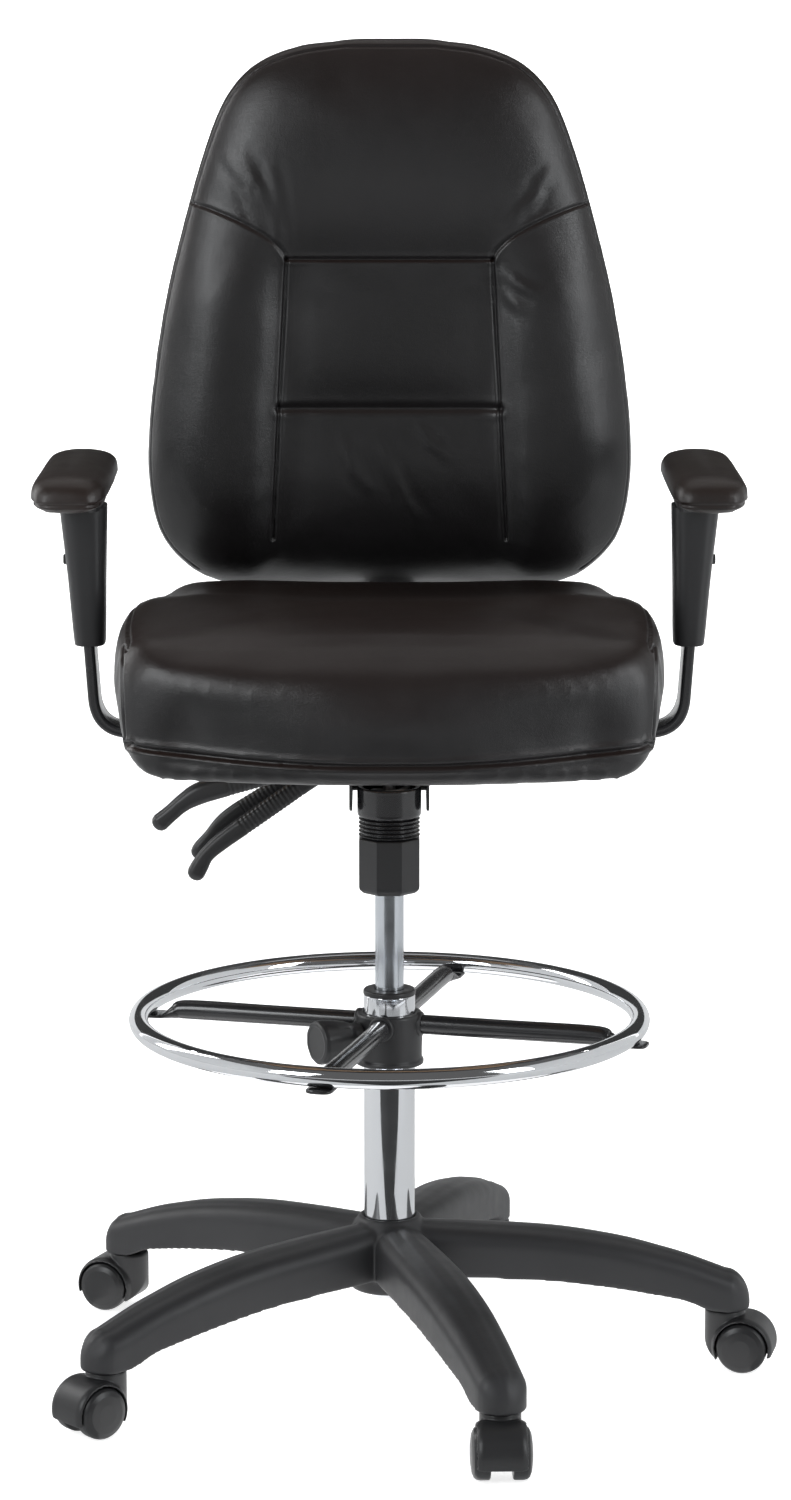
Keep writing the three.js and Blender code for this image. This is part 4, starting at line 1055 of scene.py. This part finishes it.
def refined(made, lines, reach):
    """Splits the faces near some lines once more, so that a seam can be narrow."""
    points = coordinates(made.data)
    close = np.zeros(len(points), bool)
    for line in lines:
        near, _ = distance_to(points, laid_on(made, line), reach * MM)
        close |= near < reach * MM
    work = bmesh.new()
    work.from_mesh(made.data)
    work.verts.ensure_lookup_table()
    edges = [edge for edge in work.edges if close[edge.verts[0].index] and close[edge.verts[1].index]]
    bmesh.ops.subdivide_edges(work, edges=edges, cuts=1, use_grid_fill=True)
    work.to_mesh(made.data)
    work.free()
    return made


def distance_to(points, line, reach):
    """Each point's distance to a dense line in metres, and its place along it from 0 to 1."""
    near = np.full(len(points), 1.0)
    place = np.zeros(len(points))
    low, high = line.min(0) - reach, line.max(0) + reach
    inside = np.where(np.all((points > low) & (points < high), axis=1))[0]
    starts, ends = line[:-1], line[1:]
    legs = ends - starts
    lengths = np.maximum((legs ** 2).sum(1), 1e-12)
    for chunk in np.array_split(inside, max(1, len(inside) // 4000)):
        offset = points[chunk][:, None, :] - starts[None]
        t = np.clip((offset * legs[None]).sum(2) / lengths, 0, 1)
        gap = np.linalg.norm(offset - t[:, :, None] * legs[None], axis=2)
        best = gap.argmin(1)
        rows = np.arange(len(chunk))
        near[chunk] = gap[rows, best]
        place[chunk] = (best + t[rows, best]) / len(legs)
    return near, place


def held_lines(made, lines, reach):
    """How firmly each vertex is held by the seams: 1 on a seam, 0 a little way off."""
    points = coordinates(made.data)
    weight = np.zeros(len(points))
    for line in lines:
        near, _ = distance_to(points, laid_on(made, line), reach * MM)
        weight = np.maximum(weight, np.clip(1.6 - near / (reach * MM * 0.6), 0, 1))
    return weight


def averaged(mesh, values, rounds):
    """A value per vertex, spread over its neighbours a number of times."""
    edges = np.empty(len(mesh.edges) * 2, int)
    mesh.edges.foreach_get("vertices", edges)
    first, second = edges[::2], edges[1::2]
    ends, others = np.concatenate([first, second]), np.concatenate([second, first])
    count = np.maximum(np.bincount(ends, minlength=len(values)), 1)
    for _ in range(rounds):
        around = [np.bincount(ends, weights=column[others], minlength=len(values)) for column in values.T]
        values = 0.5 * values + 0.5 * np.stack(around, 1) / count[:, None]
    return values


def add_cloth(made, held, pressure, frames, slack, stiffness, bend):
    """Cloth under pressure, pinned where it is held."""
    group = made.vertex_groups.new(name="held")
    for level in np.unique(np.round(held, 1)):
        chosen = np.where(np.round(held, 1) == level)[0].tolist()
        if level > 0:
            group.add(chosen, float(level), "REPLACE")
    cloth = made.modifiers.new("cloth", "CLOTH")
    settings = cloth.settings
    settings.quality = 6
    settings.mass = 0.25
    settings.tension_stiffness = stiffness
    settings.compression_stiffness = stiffness
    settings.shear_stiffness = stiffness * 0.4
    settings.bending_stiffness = bend
    settings.use_pressure = True
    settings.uniform_pressure_force = pressure
    settings.vertex_group_mass = "held"
    settings.shrink_min = -slack
    settings.effector_weights.gravity = 0
    cloth.collision_settings.use_collision = False
    cloth.point_cache.frame_start = 1
    cloth.point_cache.frame_end = frames


def inflated(made, held, pressure, cap, frames=20, slack=0.001, stiffness=18, bend=4.0, calm=30):
    """Puffs a cushion as cloth under pressure. Held vertices stay, and none moves over the cap."""
    add_cloth(made, held, pressure, frames, slack, stiffness, bend)
    before = coordinates(made.data)
    scene = bpy.context.scene
    for step in range(1, frames + 1):
        scene.frame_set(step)
    graph = bpy.context.evaluated_depsgraph_get()
    move = coordinates(made.evaluated_get(graph).data) - before
    made.modifiers.clear()
    made.vertex_groups.clear()
    scene.frame_set(1)
    length = np.maximum(np.linalg.norm(move, axis=1), 1e-9)
    eased_length = cap * MM * np.tanh(length / (cap * MM))
    move = averaged(made.data, move * (eased_length / length)[:, None], calm)
    set_coordinates(made.data, before + move * (1 - 0.7 * held)[:, None])
    soften = made.modifiers.new("soften", "SMOOTH")
    soften.factor = 0.5
    soften.iterations = 4
    return baked(made)


def sewn(made, seams):
    """Presses seams into a cushion: (line, depth, half width, roll beside it), in millimetres."""
    refined(made, [seam[0] for seam in seams], 7)
    points, out = coordinates(made.data), normals(made.data)
    press = np.zeros(len(points))
    for line, depth, width, roll in seams:
        reach = width * 5
        near, _ = distance_to(points, laid_on(made, line), reach * MM)
        near = near / MM
        press -= depth * np.exp(-(near / width) ** 2)
        press += roll * np.exp(-((near - width * 2.1) / (width * 1.1)) ** 2)
    set_coordinates(made.data, points + out * (press * MM)[:, None])
    return made


def creased(made, creases):
    """Raises soft folds: (line, height, half width), strongest in the middle of the line."""
    points, out = coordinates(made.data), normals(made.data)
    rise = np.zeros(len(points))
    for line, height, width in creases:
        near, place = distance_to(points, laid_on(made, line), width * 4 * MM)
        near = near / MM
        fade = np.sin(np.pi * np.clip(place, 0, 1)) ** 0.8
        ridge, beside = np.exp(-(near / width) ** 2), np.exp(-((near - 1.9 * width) / width) ** 2)
        rise += height * fade * (ridge - 0.6 * beside)
    set_coordinates(made.data, points + out * (rise * MM)[:, None])
    return made


# ---- Seat cushion -------------------------------------------------------------------------------

# Along the seat from the front: y, half width, bottom, height of the sides, depth of the dish.
SEAT_STATIONS = [
    (-277.4, 184, 677, 681, 0), (-277.2, 188, 668, 690, 0), (-276.8, 192, 659, 699, 0),
    (-276, 196, 652, 706, 0), (-273, 224, 640, 724, 0), (-263, 242, 633, 741, 0), (-240, 251, 633, 756, 1),
    (-222, 254, 634, 762, 2), (-214, 255, 652, 764, 2), (-160, 258, 652, 773, 4), (-100, 258, 652, 778, 9),
    (-50, 255, 652, 777, 14), (60, 247, 652, 764, 14), (130, 237, 652, 760, 10), (185, 226, 652, 759, 6),
    (207, 214, 658, 750, 2), (216, 196, 672, 734, 0),
]
# In from a side's edge towards its foot: distance in, and share of the height.
SEAT_SIDE = [(0, 0.55), (1, 0.42), (4, 0.28), (9, 0.15), (17, 0.06), (30, 0)]


def seat_bow(y, share):
    """How far back the front edge stands at a share of the half width."""
    return SEAT_BOW * np.clip((BOW_START - y) / BOW_LENGTH, 0, 1) * share ** 2


def seat_ring(y, half, bottom, top, dish):
    """A level slice across the seat: dished top, round shoulders, sides drawn in below."""
    half, top = half - SEAT_INSET, top - SEAT_INSET
    height = top - bottom
    corner = min(SEAT_CORNER, height * 0.45)
    right = []
    for share in (0.1, 0.2, 0.3, 0.4, 0.5, 0.6, 0.7, 0.8):
        depth = dish * (1 - np.clip((share - 0.25) / 0.6, 0, 1) ** 1.5)
        right.append((share * (half - corner * 0.3), top - depth))
    for angle in np.radians([0, 15, 30, 45, 60, 75]):
        right.append((half - corner * (1.04 - math.sin(angle)), top - corner * (1 - math.cos(angle))))
    right += [(half - inward, bottom + share * height) for inward, share in SEAT_SIDE]
    right += [(share * (half - 30), bottom) for share in (0.75, 0.5, 0.25)]
    left = [(-x, z) for x, z in reversed(right)]
    return [(x, y + seat_bow(y, x / half), z) for x, z in right + left]


def seat_at(y):
    """Half width and height of the seat's sides at a distance along it."""
    rows = np.array(SEAT_STATIONS, float)
    return np.interp(y, rows[:, 0], rows[:, 1]), np.interp(y, rows[:, 0], rows[:, 3])


def seat_side_seam(side):
    """The seam between the top panel and a side: along the shoulder, then down the front corner."""
    line = []
    for y in np.linspace(204, -214, 40):
        half, top = seat_at(y)
        line.append((side * (half - 11), y + seat_bow(y, 0.95), top - 3))
    for z, x, y in ((748, 245, -229), (728, 245, -236), (704, 244, -239), (680, 243, -238), (660, 241, -235)):
        line.append((side * x, y + SEAT_BOW * (x / 254) ** 2 * 0.62, z))
    return line


def seat_lip_seam():
    """The seam under the front, level in the middle and a little higher at the corners."""
    line = []
    for x in np.linspace(-246, 246, 60):
        share = abs(x) / 246
        line.append((x, -277 + SEAT_BOW * share ** 2, LIP_SEAM_Z + 10 * share ** 2))
    return line


def seat_skirt_seam(side):
    """The lower seam of a side, above the pan."""
    line = []
    for y in np.linspace(-214, 200, 36):
        half, _ = seat_at(y)
        line.append((side * (half - 6), y + seat_bow(y, 0.98), SKIRT_SEAM_Z))
    return line


def seat_folds():
    """Soft upright folds in the sides, behind the front corners."""
    folds = []
    for side in (1, -1):
        for y in range(-196, -86, 22):
            half, top = seat_at(y)
            line = [(half + 1, y, top - 22), (half + 3, y + 5, top - 48), (half, y + 7, top - 74)]
            folds.append(([(side * x, *rest) for x, *rest in line], 0.8, 5.0))
    return folds


def make_seat():
    rings = [seat_ring(*row) for row in flowing(SEAT_STATIONS, 4)]
    seat = remeshed(loft("seat_leather", rings), 5.5, 3)
    seams = [seat_side_seam(1), seat_side_seam(-1), seat_lip_seam()]
    skirts = [seat_skirt_seam(1), seat_skirt_seam(-1)]
    points = coordinates(seat.data) / MM
    held = held_lines(seat, seams + skirts, 5)
    held = np.maximum(held, (points[:, 2] < 656).astype(float) * (points[:, 1] > -225))
    held = np.maximum(held, np.clip((640 - points[:, 2]) / 4, 0, 1))
    inflated(seat, held, 3.0, 13, calm=45)
    subdivided(seat)
    sewn(seat, [(seams[0], 2.4, 1.7, 0.4), (seams[1], 2.4, 1.7, 0.4), (seams[2], 4.0, 2.2, 1.5),
                (skirts[0], 1.8, 1.7, 0.3), (skirts[1], 1.8, 1.7, 0.3)])
    creased(seat, seat_folds())
    smooth(seat.data, 180)
    finished(seat, "seat", "leather", "seat_cushion")


# ---- Back cushion -------------------------------------------------------------------------------

# Half width of the back at each height, from its foot to its crown.
BACK_OUTLINE = [
    (744, 140), (749, 168), (764, 201), (800, 232), (850, 244), (900, 245), (960, 239), (1040, 226),
    (1120, 206), (1192, 184), (1240, 163), (1270, 134), (1287, 92), (1294, 45),
]
# The middle panel's half width at two heights, and the bends of a shoulder seam in x and z.
PANEL_HEIGHTS, PANEL_HALVES = (795, SEAM_TOP_Z), (116, 101)
SHOULDER_BENDS = [(101, SEAM_TOP_Z), (107, 1090), (122, 1103), (150, 1118), (178, 1129), (204, 1136)]


def back_fullness(z):
    """How deep the back is at a height, as a share of its full depth."""
    foot, crown = BACK_OUTLINE[0][0], BACK_OUTLINE[-1][0]
    along = np.clip((2 * (z - foot)) / (crown - foot) - 1, -1, 1)
    return max(0.24, (1 - abs(along) ** 5) ** 0.5)


# Soft folds in the leather: where one starts, how far it runs across and up, and its height.
BACK_FOLDS = [
    (-49, 908, 32, -62, 1.0), (-12, 902, 62, -104, 1.2), (22, 926, 44, -48, 0.9), (8, 842, 40, -50, 0.8),
    (-108, 1094, -42, 92, 2.0), (-122, 1106, -40, 78, 1.6), (-104, 1090, -16, 84, 1.2),
    (106, 1072, 44, -28, 1.3), (105, 1066, 30, -40, 1.0), (112, 1104, 40, 42, 1.1), (134, 1122, 30, 50, 0.9),
]


def panel_share(x, z):
    """1 on the middle panel, 0 on the bolsters beside it and on the head of the back."""
    across = np.clip((panel_half(z) + 26 - abs(x)) / 36, 0, 1)
    up = np.clip((1120 - z) / 90, 0, 1)
    return float(across * across * (3 - 2 * across) * up * up * (3 - 2 * up))


def bolster_share(x, z):
    """0 at a bolster's seam and at the back's edge, 1 half way between them."""
    inner = panel_half(z)
    across = math.sin(math.pi * np.clip((abs(x) - inner) / (back_half(z) - inner), 0, 1))
    up = np.clip((1130 - z) / 90, 0, 1) * np.clip((z - 770) / 70, 0, 1)
    return float(across * up)


def back_ring(z, half):
    """A level slice of the back: full at the front, nearly flat behind."""
    fullness = back_fullness(z)
    middle = BACK_MIDDLE
    if z < BACK_WAIST:
        middle += (BACK_REAR - BACK_MIDDLE - 2) * (1 - fullness)
    half = half - BACK_INSET
    points = []
    for k in range(72):
        angle = 2 * math.pi * (k + 0.5) / 72
        c, s = math.cos(angle), math.sin(angle)
        depth = (BACK_MIDDLE - BACK_FRONT - BACK_INSET if s < 0 else BACK_REAR - BACK_MIDDLE) * fullness
        x = half * math.copysign(abs(c) ** 0.62, c)
        y = middle + depth * math.copysign(abs(s) ** 0.66, s)
        if s < 0:
            y += PANEL_RECESS * panel_share(x, z) - BOLSTER_RISE * bolster_share(x, z)
        points.append((x, y, z))
    return points


def back_half(z):
    rows = np.array(BACK_OUTLINE, float)
    return float(np.interp(z, rows[:, 0], rows[:, 1]))


def panel_half(z):
    """Half width of the middle panel at a height."""
    return float(np.interp(z, PANEL_HEIGHTS, PANEL_HALVES))


def back_seams():
    """Seam lines of the back, laid on its front: two level, two upright, two to the shoulders."""
    front = BACK_FRONT - 4
    level, upright, shoulders = [], [], []
    for z in (SEAM_TOP_Z, SEAM_LOW_Z):
        level.append([(x, front, z) for x in np.linspace(-panel_half(z), panel_half(z), 24)])
    for side in (1, -1):
        upright.append([(side * panel_half(z), front, z) for z in np.linspace(SEAM_TOP_Z, SEAM_FOOT_Z, 40)])
        curve = flowing([(x, front, z) for x, z in SHOULDER_BENDS], 6)
        shoulders.append([(side * x, y + (18 if x > 190 else 0), z) for x, y, z in curve])
    return level, upright, shoulders


def back_edge_seam():
    """The seam just inside the outline, all the way round the front."""
    rows = flowing(BACK_OUTLINE, 6)
    right = np.stack([rows[:, 1], rows[:, 0]], 1)
    right = np.vstack([right, [[0, BACK_OUTLINE[-1][0] + 1]]])
    along = np.gradient(right, axis=0)
    along /= np.linalg.norm(along, axis=1)[:, None]
    inner = right + EDGE_SEAM_INSET * np.stack([-along[:, 1], along[:, 0]], 1)
    inner = inner[(inner[:, 1] > 765) & (inner[:, 0] > 0)]
    line = [(x, BACK_FRONT + 12, z) for x, z in inner]
    return line + [(-x, y, z) for x, y, z in reversed(line)]


def make_back():
    outline = flowing(BACK_OUTLINE, 6)
    base = loft("back_leather", [back_ring(*row) for row in outline])
    back = remeshed(base, 5.5, 4)
    level, upright, shoulders = back_seams()
    edge = back_edge_seam()
    points = coordinates(back.data) / MM
    held = held_lines(back, [*level, *upright, *shoulders, edge], 5)
    held = np.maximum(held, (points[:, 1] > BACK_REAR - 5).astype(float))
    inflated(back, held, 4.5, 18, slack=0.004, bend=2.0, calm=12)
    subdivided(back)
    seams = [(level[0], 3.0, 1.7, 0.35), (level[1], 3.2, 3.6, 0.4)]
    seams += [(line, 3.0, 1.7, 0.35) for line in upright]
    seams += [(line, 2.6, 1.7, 0.35) for line in shoulders]
    seams.append((edge, 1.4, 1.5, 0.15))
    sewn(back, seams)
    folds = []
    for x, z, reach, fall, height in BACK_FOLDS:
        middle = (x + reach * 0.45, BACK_FRONT, z + fall * 0.6)
        line = [(x, BACK_FRONT, z), middle, (x + reach, BACK_FRONT + 4, z + fall)]
        folds.append((line, height, 5.5))
    creased(back, folds)
    smooth(back.data, 180)
    finished(back, "back", "leather", "back_cushion")


# ---- Back frame ---------------------------------------------------------------------------------


def flat_section(wide, thick, corner, steps=4):
    """A rounded rectangle as (across, up) points."""
    points = []
    for index, (sx, sy) in enumerate(((1, 1), (-1, 1), (-1, -1), (1, -1))):
        for step in range(steps + 1):
            angle = math.pi / 2 * (index + step / steps)
            points.append((sx * (wide / 2 - corner) + corner * math.cos(angle),
                           sy * (thick / 2 - corner) + corner * math.sin(angle)))
    return np.array(points)


def make_back_bar():
    line = eased([(0, RECLINE_Y + 6, RECLINE_Z), (0, BAR_Y, RECLINE_Z), (0, BAR_Y, 998.5)], 34, 14)
    sections = [flat_section(50, 8, 2.2)] * len(line)
    blade = swept("back_blade", line, sections, (1, 0, 0))
    eye = turned("eye", [(5.4, -25), (12, -25), (12, 25), (5.4, 25)], 0.8, 64, ring=True, place=False)
    part = united("back_blade", [blade, lying(eye, 0, RECLINE_Y, RECLINE_Z)])
    smooth(part.data, 40)
    finished(part, "back_arm", "black_paint", "back_bar")


def make_back_slider():
    low, high = box_mm("back_slider")
    corners = [(low[0], low[1]), (high[0], low[1]), (high[0], high[1]), (low[0], high[1])]
    outline = eased(corners + corners[:2], 12)[1:-1]
    slider = plate("back_slider_case", outline, low[2], high[2], 2)
    slot = block("slot", (-25.5, BAR_Y - 4.4, low[2] - 5), (25.5, BAR_Y + 4.4, high[2] + 5))
    slider = bevelled(carved(slider, slot), 1.6, 3)
    finished(slider, "back", "black_plastic", "back_slider")


def make_back_shell():
    low, high = box_mm("back_shell")
    rows = [row for row in flowing(BACK_OUTLINE, 4) if 800 <= row[0] <= 1270]
    right = [(0.84 * half, z) for z, half in rows]
    outline = right + [(-x, z) for x, z in reversed(right)]
    shell = plate("back_shell_pan", outline, low[1], high[1], 1)
    shell = bevelled(shell, 4.0, 4, 50)
    finished(shell, "back", "black_plastic", "back_shell")


# ---- Arms ---------------------------------------------------------------------------------------

# Along a pad from its front: y, half width, bottom and top.
PAD_STATIONS = [
    (-118, 22, 867, 882), (-112, 30, 863.5, 890), (-100, 35, 862, 896), (-80, 37, 862, 898),
    (20, 37.6, 862, 898), (122, 36.4, 862, 898), (138, 34, 862, 896), (147, 29, 863.5, 890),
    (151, 22, 867, 882),
]
# Up a sleeve: height, inner face, outer face, half depth.
SLEEVE_STATIONS = [
    (SLEEVE_BOTTOM, 276.6, 298.0, 21.4), (725.5, 274, 301, 25), (730, 272.5, 302.7, 26.8),
    (790, 271.5, 308, 29), (850, 270, 314.4, 31.8), (SLEEVE_TOP, 270, 314.5, 32),
]


def lean_x(z):
    """Middle of an arm's leaning upright at a height."""
    return ARM_BAR_X + ARM_LEAN * (z - SLEEVE_BOTTOM)


def make_arm_bar(side, name):
    corners = [(116, 639.2), (lean_x(639.2), 639.2), (lean_x(822), 822)]
    line = eased([(side * x, 0, z) for x, z in corners], 34, 14)
    sections = [flat_section(STRAP_WIDE, STRAP_THICK, 3.4)] * len(line)
    bar = swept(f"arm_strap_{name}", line, sections, (0, 1, 0))
    finished(bar, f"arm_bar_{name}", "black_paint", f"arm_bar_{name}")


def make_sleeve(side, name):
    rings = []
    for z, inner, outer, depth in flowing(SLEEVE_STATIONS, 6):
        section = oval(outer - inner, 2 * depth, 64, 0.62)
        centre = (inner + outer) / 2
        rings.append([(side * (centre + across), up, z) for across, up in section])
    sleeve = loft(f"arm_sleeve_case_{name}", rings, sharp_angle=50)
    gap = STRAP_THICK / 2 + 0.4
    corners = [(lean_x(700) - gap, 700), (lean_x(700) + gap, 700), (lean_x(854) + gap, 854),
               (lean_x(854) - gap, 854)]
    reach = STRAP_WIDE / 2 + 0.4
    slot = plate("slot", [(side * x, z) for x, z in corners], -reach, reach, 1)
    hole = rod("hole", (side * lean_x(BUTTON_Z), 0, BUTTON_Z), (side * 340, 0, BUTTON_Z), 5.4, 40)
    sleeve = carved(sleeve, slot, hole)
    rim = []
    for z, grow in ((857.0, -1.5), (857.2, 0.0), (860.0, 0.0), (861.7, -1.5)):
        section = oval(2 * (27 + grow), 2 * (70 + grow), 64, 0.35)
        rim.append([(side * ARM_X + across, 10 + up, z) for across, up in section])
    top = loft("top", rim)
    part = united(f"arm_sleeve_case_{name}", [sleeve, top])
    smooth(part.data, 45)
    finished(part, f"arm_{name}", "black_plastic", f"arm_sleeve_{name}")


def make_button(side, name):
    face = 312.5
    start = lean_x(BUTTON_Z) + 9.4
    profile = [(0, start), (5, start), (5, face - 0.8), (4.2, face), (0, face)]
    cap = turned(f"arm_button_cap_{name}", profile, 0.6, 40, place=False)
    lying(cap, 0, 0, BUTTON_Z, side)
    finished(cap, f"button_{name}", "black_plastic", f"arm_button_{name}")


def make_pad(side, name):
    rings = []
    for y, half, bottom, top in flowing(PAD_STATIONS, 6):
        half, top = half - 1.5, top - 1.5
        height = top - bottom
        section = oval(2 * half, height, 48, 0.74)
        rings.append([(side * ARM_X + across, y, (bottom + top) / 2 + up) for across, up in section])
    pad = remeshed(loft(f"arm_pad_soft_{name}", rings), 4.0, 3)
    points = coordinates(pad.data) / MM
    seam = [(side * ARM_X + across, y, PAD_SEAM_Z) for across, y in pad_outline()]
    held = held_lines(pad, [seam], 4)
    held = np.maximum(held, (points[:, 2] < 864).astype(float))
    inflated(pad, held, 3.0, 6, stiffness=25)
    subdivided(pad)
    sewn(pad, [(seam, 1.3, 1.6, 0.5)])
    smooth(pad.data, 180)
    finished(pad, f"arm_{name}", "arm_pad_skin", f"arm_pad_{name}")


def pad_outline():
    """The pad's outline in plan, as offsets from the pad's middle line."""
    rows = flowing(PAD_STATIONS, 4)
    right = [(half, y) for y, half, _, _ in rows]
    loop = right + [(-x, y) for x, y in reversed(right)]
    return loop + loop[:1]


def make_arms():
    for side, name in ((1, "left"), (-1, "right")):
        make_arm_bar(side, name)
        make_sleeve(side, name)
        make_button(side, name)
        make_pad(side, name)


# ---- CAD nodes that stay ------------------------------------------------------------------------

KEPT = {
    "piston_rod": "steel", "thrust_bearing": "steel", "tilt_shaft": "steel", "tension_bolt": "steel",
    "release_pin": "steel", "recline_shaft": "steel", "seat_plate": "black_paint", "seat_pan": "plywood",
    **{f"caster_stem_{i + 1}": "steel" for i in range(ARM_COUNT)},
}


def dress_kept_nodes():
    for node, slot in KEPT.items():
        made = frame["nodes"][node]
        made.data.materials.clear()
        made.data.materials.append(FINISH[slot])
        smooth(made.data, 35)
        bevel = made.modifiers.new("edge", "BEVEL")
        bevel.width = 0.4 * MM
        bevel.segments = 2
        bevel.limit_method = "ANGLE"


make_camera()
make_floor()
make_lights()
make_panels()
make_base()
make_casters()
make_column()
make_ring()
make_ring_hub()
make_spokes()
make_clamp_knob()
make_housing()
make_collar()
make_tension_knob()
make_coil()
make_levers()
make_seat()
make_back()
make_back_bar()
make_back_slider()
make_back_shell()
make_arms()
dress_kept_nodes()
